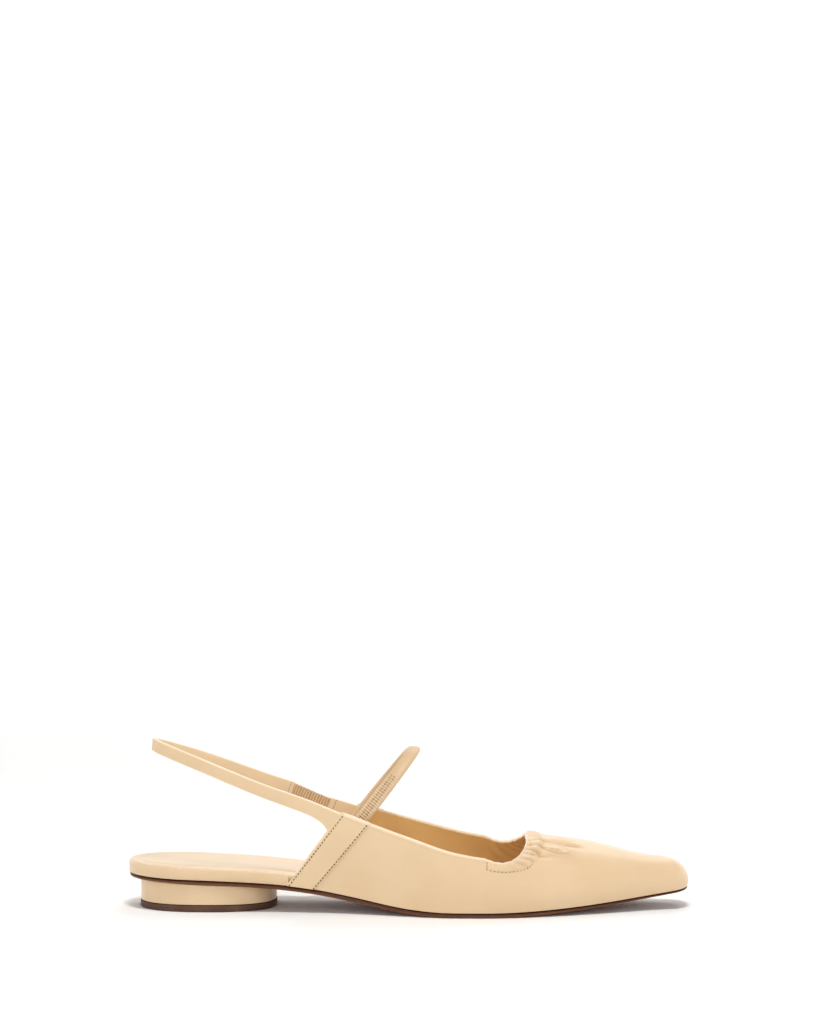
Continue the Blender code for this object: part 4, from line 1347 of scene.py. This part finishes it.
@dataclass
class Footbed:
    """The insole, with the leather-wrapped seat that shows behind the quarters."""

    upper: Upper
    seat: float = 6.0 * MM
    fore: float = 3.4 * MM
    overhang: float = 0.35 * MM
    edge: float = 1.4 * MM
    sock_from: int = 7
    fit: float = 1.1 * MM
    step: float = -0.3 * MM
    dish: float = 0.5 * MM
    pad: float = 0.4 * MM
    pad_inset: float = 5.5 * MM
    pad_slope: float = 1.2 * MM
    rounding: float = 0.24
    rounding_steps: int = 9
    top_steps: int = 65
    foot_inset: float = 0.25 * MM
    foot_level: float = 0.06
    bowl_width: float = 40.0 * MM
    counts: Tuple[int, ...] = (49, 30, 50, 104, 15)
    gaps: Tuple[float, ...] = (1.3 * MM, 1.1 * MM, 0.5 * MM, 0.7 * MM)

    def thickness(self, x: Array) -> Array:
        """Thickness at a place along the shoe."""
        start, end = self.upper.border_foot, self.upper.last.tread_rear
        return self.seat + (self.fore - self.seat) * ease(x, start, end)

    def ring(self, stations: Array, level: float, inset: float, side: Side) -> Array:
        """One side of the edge at a share of the thickness, moved in by an inset.

        Args:
            stations: stations of the edge.
            level: share of the thickness.
            inset: how far the ring is moved in.
            side: side of the foot.

        Returns:
            Points of the ring.
        """
        last = self.upper.last
        foot_x, foot_y = last.foot(stations, side)
        out_x, out_y = last.outward(stations, side)
        height = last.feather(foot_x) + self.upper.clearance + self.thickness(foot_x) * level
        wall = last.point(stations, last.angle_at(stations, height, side), side)
        inside = self.upper.wall + self.fit + inset
        border_foot, border_head = self.upper.border(side)
        low, top = last.feather(np.asarray(border_foot)), self.upper.tops[side](border_head)
        border = border_foot + (border_head - border_foot) * (height - low) / (top - low)
        behind = stations < border - self.step
        x = np.where(behind, foot_x + out_x * (self.overhang - inset), wall[:, 0] - out_x * inside)
        y = np.where(behind, foot_y + out_y * (self.overhang - inset), wall[:, 1] - out_y * inside)
        return np.stack([x, y, height], axis=-1)

    def stations(self, side: Side) -> Array:
        """Stations of the edge, close together round the ends and at the step.

        Args:
            side: side of the foot.

        Returns:
            The stations.
        """
        last, foot = self.upper.last, self.upper.border(side)[0]
        heel = np.linspace(last.heel_end, last.heel_end + last.heel_round, self.counts[0])
        seat = np.linspace(heel[-1], foot - self.gaps[0], self.counts[1])[1:]
        stepped = np.linspace(foot - self.gaps[1], foot + self.seat + self.gaps[2], self.counts[2])
        ahead = np.linspace(stepped[-1] + self.gaps[3], last.toe_end - last.toe_round, self.counts[3])
        toe = np.linspace(ahead[-1], last.toe_end, self.counts[4])[1:]
        return np.concatenate([heel, seat, stepped, ahead, toe])

    def build(self, wrap: Material, sock: Material) -> bpy.types.Object:
        """Makes the insole, wrapped at the side and with a sock on top, in place of its CAD node.

        Args:
            wrap: material of the wrapped side.
            sock: material of the top.

        Returns:
            The piece.
        """
        levels = [(0.0, self.foot_inset), (self.foot_level, 0.0)]
        levels += [(1 - self.rounding + self.rounding * math.sin(turn), self.edge * (1 - math.cos(turn)))
                   for turn in np.linspace(0.0, math.pi / 2, self.rounding_steps)]
        rings = []
        for level, inset in levels:
            near, far = (self.ring(self.stations(side), level, inset, side) for side in Side)
            rings.append(np.concatenate([near, far[-2:0:-1]]))
        cloth = Cloth()
        # painted highlight along the top of the wrapped side
        line = np.zeros((self.sock_from + 1, 1))
        line[-1] = 0.9
        cloth.grid(np.array(rings[:self.sock_from + 1]), around=True, fold=line)
        cloth.grid(np.array(rings[self.sock_from:]), around=True, kind=1)
        half = len(self.stations(Side.OUTER))
        for ring, sign in ((rings[-1], 1.0), (rings[0], 0.0)):
            near = ring[:half]
            far = np.concatenate([ring[:1], ring[half:][::-1], ring[half - 1:half]])
            share = np.linspace(0.0, 1.0, self.top_steps)[None, :]
            top = near[:, None] * (1 - share[..., None]) + far[:, None] * share[..., None]
            wide = np.linalg.norm(far - near, axis=1)[:, None]
            bowl = np.sin(math.pi * share) * np.clip(wide / self.bowl_width, 0, 1)
            behind = (top[..., 0] - self.upper.last.heel_end) * 0.8
            room = np.minimum(wide * np.minimum(share, 1 - share), behind)
            pad = self.pad * ease(room, self.pad_inset, self.pad_inset + self.pad_slope)
            top[..., 2] += sign * (pad - self.dish * bowl)
            cloth.grid(top, kind=int(sign))
        mesh = cloth.mesh("footbed_leather", (wrap, sock), 70.0)
        return new_piece("footbed_leather", mesh, ["footbed"])


@dataclass
class Sole:
    """Outsole, wrapped heel block and rubber top piece, refined from their CAD solids."""

    last: Last
    groove: float = 0.45 * MM
    flat_angle: float = math.radians(0.3)
    smooth_angle: float = math.radians(50)
    rim_angle: float = 60.0
    block_rim: float = 0.25 * MM
    tip_rim: float = 0.15 * MM

    @staticmethod
    def merged(node: str, sharp: float, bevel: float) -> bpy.types.Mesh:
        """A copy of a CAD node with its triangles joined and its edges eased.

        Args:
            node: name of the CAD node.
            sharp: angle in degrees above which an edge stays sharp.
            bevel: width of the eased edges.

        Returns:
            The new mesh.
        """
        shape = bmesh.new()
        shape.from_mesh(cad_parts[node].data)
        bmesh.ops.remove_doubles(shape, verts=shape.verts, dist=SLIVER)
        bmesh.ops.dissolve_limit(shape, angle_limit=Sole.flat_angle, verts=shape.verts, edges=shape.edges)
        rims = [edge for edge in shape.edges
                if len(edge.link_faces) == 2 and edge.calc_face_angle() > math.radians(sharp)]
        if bevel > 0.0:
            bmesh.ops.bevel(shape, geom=rims, offset=bevel, segments=3, profile=0.6, affect="EDGES")
        bmesh.ops.triangulate(shape, faces=shape.faces)
        mesh = bpy.data.meshes.new(node + "_finished")
        shape.to_mesh(mesh)
        shape.free()
        mesh.shade_smooth()
        mesh.set_sharp_from_angle(angle=Sole.smooth_angle)
        return mesh

    def build(self, edge: Material, leather: Material, rubber: Material) -> None:
        """Makes the three pieces in place of their CAD nodes.

        Args:
            edge: material of the outsole.
            leather: material of the heel block.
            rubber: material of the tip.
        """
        outsole = self.merged("outsole", 40, 0.0)
        points = np.empty(len(outsole.vertices) * 3)
        outsole.vertices.foreach_get("co", points)
        points = points.reshape(-1, 3)
        points[:, 2] += self.last.settled(points[:, 0])
        outsole.vertices.foreach_set("co", points.reshape(-1))
        # points less than the groove depth under the feather get the painted shade of the groove
        depth = self.last.feather(points[:, 0]) - points[:, 2]
        layer = outsole.attributes.new("groove", "FLOAT", "POINT")
        layer.data.foreach_set("value", (depth < self.groove).astype(np.float32))
        block = self.merged("heel_block", self.rim_angle, self.block_rim)
        tip = self.merged("top_piece", self.rim_angle, self.tip_rim)
        for name, mesh, finish, slot, node in (
                ("outsole_leather", outsole, edge, "sole_leather", "outsole"),
                ("heel_cover", block, leather, "upper_leather", "heel_block"),
                ("heel_tip", tip, rubber, "heel_rubber", "top_piece")):
            mesh.materials.append(finish)
            new_piece(name, mesh, [node])


class SlingRow(NamedTuple):
    """A row of the sling: shares of its spread, height and width at a share of the way back."""

    at: float
    spread: float
    outer: float
    inner: float
    width: float


SLING = tuple(SlingRow(*row) for row in (
    (0.00, 1.060, 0.598, 0.578, 1.30), (0.07, 1.035, 0.623, 0.603, 1.18),
    (0.15, 0.990, 0.658, 0.640, 1.12), (0.27, 0.930, 0.705, 0.702, 1.09),
    (0.41, 0.860, 0.757, 0.757, 1.05), (0.64, 0.710, 0.855, 0.855, 1.00),
    (0.79, 0.520, 0.918, 0.918, 1.00), (0.86, 0.405, 0.946, 0.946, 1.00),
    (0.93, 0.270, 0.973, 0.973, 1.00), (0.98, 0.125, 0.992, 0.992, 1.00),
    (1.00, 0.000, 1.000, 1.000, 1.00),
))


def strap(tops: Array, lows: Array, thickness: Array, ring: int = 20,
          square: float = 0.32, edge: float = 0.93, painted_highlight_share: float = 0.8) -> Tuple[Array, Array]:
    """Sections of a flat strap between two edge lines.

    Args:
        tops: points of its upper edge.
        lows: points of its lower edge.
        thickness: at each section.
        ring: points round a section.
        square: 1 for an oval section and less for a flatter one.
        edge: share of the half width from which on the strap counts as edge.
        painted_highlight_share: share of painted highlight on the edges.

    Returns:
        Grid of points and the painted highlight on each, which lies on the strap's edges.
    """
    middle, across = (tops + lows) / 2, (tops - lows) / 2
    out = unit(np.cross(np.gradient(middle, axis=0), across))
    wide, deep = oval(np.linspace(0, 2 * math.pi, ring, endpoint=False)[None, :, None], square)
    points = middle[:, None] + across[:, None] * wide + out[:, None] * deep * thickness[:, None, None] / 2
    # painted highlight on the strap's two edges
    fold = np.broadcast_to(np.abs(wide[..., 0]) > edge, points.shape[:2])
    return points, fold.astype(float) * painted_highlight_share


@dataclass
class Sling:
    """The sling round the heel, its shirred elastic and its inner tab."""

    upper: Upper
    reach: float = 120.6 * MM
    height: float = 79.6 * MM
    spread: float = 24.8 * MM
    width: float = 6.0 * MM
    thickness: float = 1.9 * MM
    corner: float = 37.4 * MM
    corner_pull: float = 2.2
    root: float = 14.5 * MM
    flare: Tuple[float, float] = (1.5 * MM, 5.5 * MM)
    inner_flare: Tuple[float, float] = (5.0 * MM, 3.2 * MM)
    elastic_width: float = 5.4 * MM
    elastic_thickness: float = 1.6 * MM
    elastic_rear: float = -54.7 * MM
    elastic_front: float = -37.9 * MM
    rib_pitch: float = 1.2 * MM
    gore_steps: int = 170
    strand_steps: int = 60
    turn_steps: int = 24
    root_steps: Tuple[int, int] = (20, 24)
    valley_share: float = 0.45
    turn: float = 0.86
    centre: float = 0.35
    overlap: float = 1.5 * MM
    turned_in: float = 0.16
    turned_at: float = 1.6 * MM
    turned_width: float = 1.2 * MM
    tack_inset: float = 2.4 * MM
    tack_margin: float = 0.1
    tack_lift: float = 0.1 * MM
    tack: Tuple[float, ...] = (1.0 * MM, 0.36 * MM, 0.17 * MM)

    def __post_init__(self) -> None:
        """Draws the curves through the sling's table."""
        at = [row.at for row in SLING]
        self.half = track(at, [row.spread * self.spread for row in SLING])
        self.tops = {Side.OUTER: track(at, [row.outer * self.height for row in SLING]),
                     Side.INNER: track(at, [row.inner * self.height for row in SLING])}
        self.widths = track(at, [row.width * self.width for row in SLING])
        self.head = self.upper.border_head
        self.run = self.reach + self.head

    def lines(self, share: Array, sign: Array) -> Tuple[Array, Array]:
        """Upper and lower edge of a run of the sling.

        Args:
            share: shares of the way back.
            sign: -1 on the outer strand and 1 on the inner one.

        Returns:
            The two edges as arrays of points.
        """
        last, foot = self.upper.last, np.asarray(self.upper.border_foot)
        middle = float(last.medial(foot) - last.lateral(foot)) / 2 * self.centre
        top = np.where(sign > 0, self.tops[Side.INNER](share), self.tops[Side.OUTER](share))
        tops = np.stack([self.head - self.run * share, middle + sign * self.half(share), top], axis=-1)
        along = unit(np.gradient(tops, axis=0))
        flat = unit(np.cross(along, np.array((0.0, 0.0, 1.0))))
        return tops, tops - np.cross(flat, along) * self.widths(share)[:, None]

    def border_points(self, side: Side, heights: Sequence[float], gap: float) -> List[Array]:
        """Points in the middle of the wall along the quarter's rear edge, set back by a gap.

        Args:
            side: side of the foot.
            heights: heights of the wanted points.
            gap: how far back they are set.

        Returns:
            The points.
        """
        upper, last = self.upper, self.upper.last
        foot, head = upper.border(side)
        head_angle = float(last.angle_at(head, upper.tops[side](head), side))
        angle = np.linspace(0.0, head_angle, 400)
        q = foot + (head - foot) * np.sin(angle) / math.sin(head_angle)
        line = last.point(q, angle, side)
        found = []
        for height in heights:
            best = int(np.argmin(np.abs(line[:, 2] - height)))
            out = last.outward(q[best], side)
            point = line[best] - np.array((float(out[0]), float(out[1]), 0.0)) * upper.wall / 2
            found.append(point - np.array((gap, 0.0, 0.0)))
        return found

    def rooted(self, side: Side, end: float, steps: int) -> Tuple[Array, Array]:
        """Edges of the flared root, from the quarter's rear edge to the strap.

        Args:
            side: side of the foot.
            end: share of the way back at which the root ends.
            steps: number of sections.

        Returns:
            The upper and the lower edge.
        """
        head = self.upper.border(side)[1]
        top_height = float(self.upper.tops[side](head)) - self.upper.clearance
        low_start, top_start = self.border_points(side, (self.corner, top_height), -self.overlap)
        near = np.array([end - 0.01, end, end + 0.01])
        tops, lows = self.lines(near, np.full(3, float(side.value)))
        share = (np.arange(steps) / steps)[:, None]
        mid_y = lows[1][1] * 0.4 + low_start[1] * 0.6
        back, rise = self.flare if side is Side.OUTER else self.inner_flare
        corner = np.array((low_start[0] - back - self.overlap, mid_y, low_start[2] + rise))
        pull = self.corner_pull * 2 * (1 - share) * share
        low = low_start * (1 - share) ** 2 + corner * pull + lows[1] * share ** 2
        low = low / ((1 - share) ** 2 + pull + share ** 2)
        return top_start + (tops[1] - top_start) * share, low

    def piece(self, name: str, tops: Array, lows: Array, node: str, finish: Material,
              slot: str, thick: Array, crease: Union[Array, float] = 0.0) -> None:
        """Makes one strap in place of its CAD node.

        Args:
            name: the piece's name.
            tops: points of its upper edge.
            lows: points of its lower edge.
            node: the CAD node.
            finish: its material.
            slot: not used.
            thick: thickness at each section.
            crease: how deep in a valley each section lies, as painted shade that also takes back the painted
                highlight.
        """
        points, fold = strap(tops, lows, thick)
        LOG.info("%s: %.0f mm long", name, arc((tops + lows) / 2)[-1] / MM)
        cloth = Cloth()
        # painted shade in the valleys, painted highlight on the edges elsewhere
        cloth.tube(points, fold=fold * (1 - crease), crease=crease)
        new_piece(name, cloth.mesh(name, (finish,), 80.0), [node])

    def full(self, tops: Array) -> Array:
        """Thickness of a leather strap, greater where its end is turned in over the elastic."""
        away = np.linalg.norm(tops - tops[-1], axis=1)
        return self.thickness * (1 + self.turned_in * hump(away - self.turned_at, self.turned_width))

    def tacks(self, tops: Array, lows: Array) -> List[Array]:
        """Lines of stitches across both faces of a strap, near its end.

        Args:
            tops: points of the upper edge.
            lows: points of the lower edge.

        Returns:
            The lines, as arrays of points.
        """
        away = np.linalg.norm(tops - tops[-1], axis=1)
        pick = int(np.argmin(np.abs(away - self.tack_inset)))
        top, low, margin = tops[pick], lows[pick], self.tack_margin
        out = unit(np.cross(top - tops[pick - 1], top - low)) * (self.thickness / 2 + self.tack_lift)
        line = np.linspace(top * (1 - margin) + low * margin, low * (1 - margin) + top * margin, 8)
        return [line - out, line + out]

    def build(self, leather: Material, elastic: Material, runs: ThreadRuns,
              thread: Material) -> None:
        """Makes strap, elastic, tab and the stitches at their ends.

        Args:
            leather: the soft leather.
            elastic: the gore's material.
            runs: the maker of stitches.
            thread: the thread's material.
        """
        gap = self.upper.clearance / self.run
        rear, front = ((self.head - place) / self.run for place in (self.elastic_rear, self.elastic_front))
        root_end = self.root / self.run
        near = np.linspace(root_end, self.turn, self.strand_steps)
        bend = self.turn + (1 - self.turn) * np.sin(np.linspace(0, math.pi / 2, self.turn_steps)[1:])
        far = np.linspace(self.turn, rear + gap, self.strand_steps)[1:]
        share = np.concatenate([near, bend, bend[-2::-1], far])
        sign = np.concatenate([-np.ones(len(near) + len(bend)), np.ones(len(bend) - 1 + len(far))])
        tops, lows = self.lines(share, sign)
        root_top, root_low = self.rooted(Side.OUTER, root_end, self.root_steps[0])
        tops, lows = np.concatenate([root_top, tops]), np.concatenate([root_low, lows])
        self.piece("sling_leather", tops, lows, "sling_strap", leather, "upper_leather", self.full(tops))
        hidden = self.overlap / self.run
        share = np.linspace(rear + hidden, front - hidden, self.gore_steps)
        ribs_tops, ribs_lows = self.lines(share, np.ones(self.gore_steps))
        trim = (1 - self.elastic_width / float(self.widths(rear))) / 2
        cut = (ribs_lows - ribs_tops) * trim
        rib = np.abs(np.sin(math.pi * share * self.run / self.rib_pitch)) ** 0.7
        thick = self.elastic_thickness * (self.valley_share + 0.6 * rib)
        edge = cut * (1.3 - 0.6 * rib[:, None])
        # the gore's rib valleys get painted shade
        self.piece("sling_gore", ribs_tops + edge, ribs_lows - edge, "sling_elastic", elastic,
                   "covered_elastic", thick, (1 - rib)[:, None])
        root_top, root_low = self.rooted(Side.INNER, front - gap, self.root_steps[1])
        tab_tops, tab_lows = self.lines(np.array([front - 2 * gap, front - gap]), np.ones(2))
        tab_tops = np.concatenate([root_top, tab_tops[1:]])
        tab_lows = np.concatenate([root_low, tab_lows[1:]])
        self.piece("sling_tab_leather", tab_tops, tab_lows, "sling_tab", leather, "upper_leather",
                   self.full(tab_tops))
        paths = self.tacks(tops, lows) + self.tacks(tab_tops, tab_lows)
        runs.sew("strap_end_stitches", paths, thread, *self.tack)


@dataclass
class InstepStrap:
    """The padded elastic strap over the instep, shirred on both flanks."""

    upper: Upper
    width: float = 6.4 * MM
    thickness: float = 3.0 * MM
    apex: float = 74.6 * MM
    lean: float = 24.0 * MM
    foot: float = -21.5 * MM
    tuck: float = 6.0 * MM
    seat: float = 1.2 * MM
    arch_power: float = 0.9
    pad_power: float = 0.8
    rib_pitch: float = 1.25 * MM
    shirred_to: float = 66.0 * MM
    shirred_fade: float = 5.0 * MM
    row_place: float = 0.28
    row_width: float = 0.22
    rib_power: float = 0.8
    rounds: int = 12
    steps: int = 620
    dot_lift: float = 0.10 * MM
    dot: Tuple[float, float] = (0.24 * MM, 0.2 * MM)
    rib_depth: float = 0.18 * MM
    row_depth: float = 0.50 * MM

    def beside(self, height: float, side: Side) -> float:
        """Sideways place of the strap's middle on the inside of the quarter.

        Args:
            height: height above the ground.
            side: side of the foot.

        Returns:
            The place in y.
        """
        last = self.upper.last
        wall = last.point(self.foot, last.angle_at(self.foot, height, side), side)
        return float(wall[1]) - side.value * (self.upper.wall + self.thickness / 2 + self.seat)

    def tucked(self, side: Side, shares: Sequence[float]) -> List[Tuple[float, float, float]]:
        """Points of the end that runs down inside a quarter.

        Args:
            side: side of the foot.
            shares: shares of the tucked length.

        Returns:
            The points.
        """
        edge = float(self.upper.tops[side](self.foot))
        points = []
        for share in shares:
            drop = self.tuck * share
            slope = drop * self.lean / (self.apex - edge)
            points.append((self.foot - slope, self.beside(edge - drop, side), edge - drop))
        return points

    def path(self) -> Array:
        """Middle line of the strap, evenly spaced.

        Returns:
            The points.
        """
        near_z, far_z = (float(self.upper.tops[side](self.foot)) for side in Side)
        near_y, far_y = self.beside(near_z, Side.OUTER), self.beside(far_z, Side.INNER)
        turn = np.linspace(0.0, math.pi, 121)
        rise = np.maximum(np.sin(turn), 0.0) ** self.arch_power
        start = near_z + (far_z - near_z) * turn / math.pi
        y = (near_y + far_y) / 2 - (far_y - near_y) / 2 * np.cos(turn)
        arch = np.stack([self.foot + self.lean * rise, y, start + (self.apex - start) * rise], axis=-1)
        parts = [self.tucked(Side.OUTER, np.linspace(1, 0.1, 10)), arch.tolist(),
                 self.tucked(Side.INNER, np.linspace(0.1, 1, 10))]
        line = np.array(sum(parts, []))
        runs = arc(line)
        even = np.linspace(0.0, runs[-1], self.steps)
        return np.stack([np.interp(even, runs, line[:, axis]) for axis in range(3)], axis=-1)

    def build(self, leather: Material, runs: ThreadRuns, thread: Material,
              ring: int = 28) -> None:
        """Makes the strap in place of its CAD node, and the dots of its shirring rows.

        Args:
            leather: the stretch leather.
            runs: the maker of stitches.
            thread: the thread's material.
            ring: points round a section.
        """
        line = relaxed(self.path(), self.rounds)
        along = unit(np.gradient(line, axis=0))
        middle_y = (line[0][1] + line[-1][1]) / 2
        inward = np.array((0.0, middle_y, line[0][2])) - line * np.array((0.0, 1.0, 1.0))
        wide = unit(np.cross(along, inward))
        out = np.cross(wide, along)
        lengths = arc(line)
        LOG.info("instep_leather: %.0f mm long", lengths[-1] / MM)
        flat, deep = oval(np.linspace(0, 2 * math.pi, ring, endpoint=False), self.pad_power)
        shirred = (1 - ease(line[:, 2], self.shirred_to - self.shirred_fade, self.shirred_to))[:, None]
        rib = np.abs(np.sin(math.pi * lengths / self.rib_pitch))[:, None] ** self.rib_power
        places = (-self.row_place, self.row_place)
        rows = sum(hump(flat - place, self.row_width) for place in places)[None, :]
        valley = shirred * (1 - rib)
        dent = valley * (self.rib_depth + self.row_depth * rows)
        lift = (deep * self.thickness / 2)[None, :] - np.sign(deep)[None, :] * dent
        points = line[:, None] + wide[:, None] * (flat * self.width / 2)[None, :, None]
        points = points + out[:, None] * lift[..., None]
        cloth = Cloth()
        # painted shade in the shirring's valleys and rows, painted highlight on its ribs
        cloth.tube(points, crease=np.clip(valley * (0.3 + rows), 0, 1), fold=shirred * rib * 0.3)
        low = shirred[:, 0] > 0.5
        half = len(low) // 2
        paths = []
        for place in places:
            for face in (-1.0, 1.0):
                index = int(np.argmin(np.abs(flat - place) - face * np.sign(deep) * 0.01))
                row = points[:, index] + out * face * self.dot_lift
                paths += [row[:half][low[:half]], row[half:][low[half:]]]
        runs.sew("instep_stitches", paths, thread, self.rib_pitch, *self.dot)
        mesh = cloth.mesh("instep_leather", (leather,), 80.0)
        new_piece("instep_leather", mesh, ["instep_strap"])


# name, place, size in metres and power in watts
LIGHTS = (("key", (0.10, -0.50, 1.7), 0.40, 16.0), ("fill", (-0.3, -1.6, 0.7), 1.0, 2.4),
          ("rim", (0.3, 1.2, 1.3), 0.8, 6.0))


@dataclass
class Studio:
    """Pale floor that rises into a bowl, soft lights and the camera."""

    floor: float = 3.2
    wall: float = 3.0
    glow_from: float = 0.6
    glow_full: float = 2.3
    glow_side: float = 0.45
    glow_level: float = 0.92
    air_strength: float = 0.36
    warmth: Colour = (1.0, 0.985, 0.96)
    distance: float = 1.5
    azimuth: float = math.radians(1.5)
    elevation: float = math.radians(7.7)
    target_height: float = 30.0 * MM
    focal_pixels: float = 3144.0
    target_pixel: Tuple[float, float] = (408.25, 843.0)
    picture: Tuple[int, int] = (819, 1024)

    def stage(self) -> None:
        """Makes the floor, turned from one profile."""
        turns = np.linspace(0, math.pi / 2, 16)
        profile = [(0.001, 0.0)] + [(radius, 0.0) for radius in (0.5, 1.5, self.floor)]
        profile += [(self.floor + self.wall * math.sin(turn), self.wall * (1 - math.cos(turn)))
                    for turn in turns[1:]]
        sweep = np.linspace(0, 2 * math.pi, 97)
        points = [[(r * math.cos(turn), r * math.sin(turn), z) for r, z in profile] for turn in sweep]
        cloth = Cloth()
        cloth.grid(np.array(points))
        shade = Shade("studio_paper")
        paper = shade.mix(shade.noise(3.0), (0.95, 0.95, 0.95), (0.93, 0.93, 0.93))
        parts = shade.node("ShaderNodeVectorMath", {"operation": "LENGTH"}, {0: shade.place}, "Value")
        # painted glow: the paper emits light, rising from 0.6 m to 2.3 m from the middle and stronger towards
        # +Y, so the bowl's wall looks white
        away = self.glow_side + (1 - self.glow_side) * shade.split(1).ranged(-0.5, 1.5)
        glow = away * parts.ranged(self.glow_from, self.glow_full)
        glow = shade.mix(glow, (0.0, 0.0, 0.0), (self.glow_level,) * 3)
        material = shade.feed(Base_Color=paper, Roughness=0.9, Specular_IOR_Level=0.1,
                              Emission_Color=glow, Emission_Strength=1.0)
        mesh = cloth.mesh("studio_floor", (material,))
        if mesh.polygons[0].normal.z < 0:
            mesh.flip_normals()
        added("studio_floor", mesh)

    def light(self, name: str, place: Tuple[float, float, float], size: float, power: float) -> None:
        """Adds a square soft light that looks at the shoe.

        Args:
            name: its name.
            place: where it stands.
            size: length of its side.
            power: its power in watts.
        """
        lamp = bpy.data.lights.new(name, "AREA")
        lamp.size, lamp.energy, lamp.color = size, power, self.warmth
        holder = added(name, lamp)
        ahead = unit(np.array((0.0, 0.0, self.target_height)) - np.array(place))
        holder.location = place
        holder.rotation_euler = (math.acos(-ahead[2]), 0.0, math.atan2(ahead[1], ahead[0]) - math.pi / 2)

    def camera(self) -> None:
        """Sets the camera at the photograph's angle, tilted so that the shoe stands low in the frame."""
        lens = bpy.data.cameras.new("view")
        lens.sensor_width = 36.0
        lens.lens = self.focal_pixels * lens.sensor_width / max(self.picture)
        lens.clip_end = 50.0
        holder = added("view", lens)
        level = self.distance * math.cos(self.elevation)
        holder.location = (level * math.sin(self.azimuth), -level * math.cos(self.azimuth),
                           self.target_height + self.distance * math.sin(self.elevation))
        lift = math.atan((self.target_pixel[1] - self.picture[1] / 2) / self.focal_pixels)
        turn = math.atan((self.target_pixel[0] - self.picture[0] / 2) / self.focal_pixels)
        holder.rotation_euler = (math.pi / 2 - self.elevation + lift, 0.0, self.azimuth + turn)
        bpy.context.scene.camera = holder

    def build(self) -> None:
        """Sets up the whole studio."""
        self.stage()
        world = bpy.data.worlds.new("studio_air")
        world.use_nodes = True
        air = world.node_tree.nodes["Background"]
        air.inputs["Color"].default_value = (1.0, 1.0, 1.0, 1.0)
        air.inputs["Strength"].default_value = self.air_strength
        bpy.context.scene.world = world
        for name, place, size, power in LIGHTS:
            self.light(name, place, size, power)
        bpy.context.scene.view_settings.view_transform = "Standard"
        self.camera()


def main() -> None:
    """Builds the studio and the shoe, then notes the sizes."""
    logging.basicConfig(level=logging.INFO, format="%(message)s")
    Studio().build()
    last = Last()
    leather, lining, thread = LEATHER.material(), LINING.material(), THREAD.material()
    runs = ThreadRuns()
    upper = Upper(last)
    upper.build(leather, lining)
    upper.sew(runs, thread)
    Footbed(upper).build(leather, SOCK.material())
    Sole(last).build(SOLE.material(), leather, RUBBER.material())
    pale, stretch = PALE_THREAD.material(), STRETCH.material()
    Sling(upper).build(leather, stretch, runs, thread)
    InstepStrap(upper).build(stretch, runs, pale)


if __name__ == "__main__":
    main()
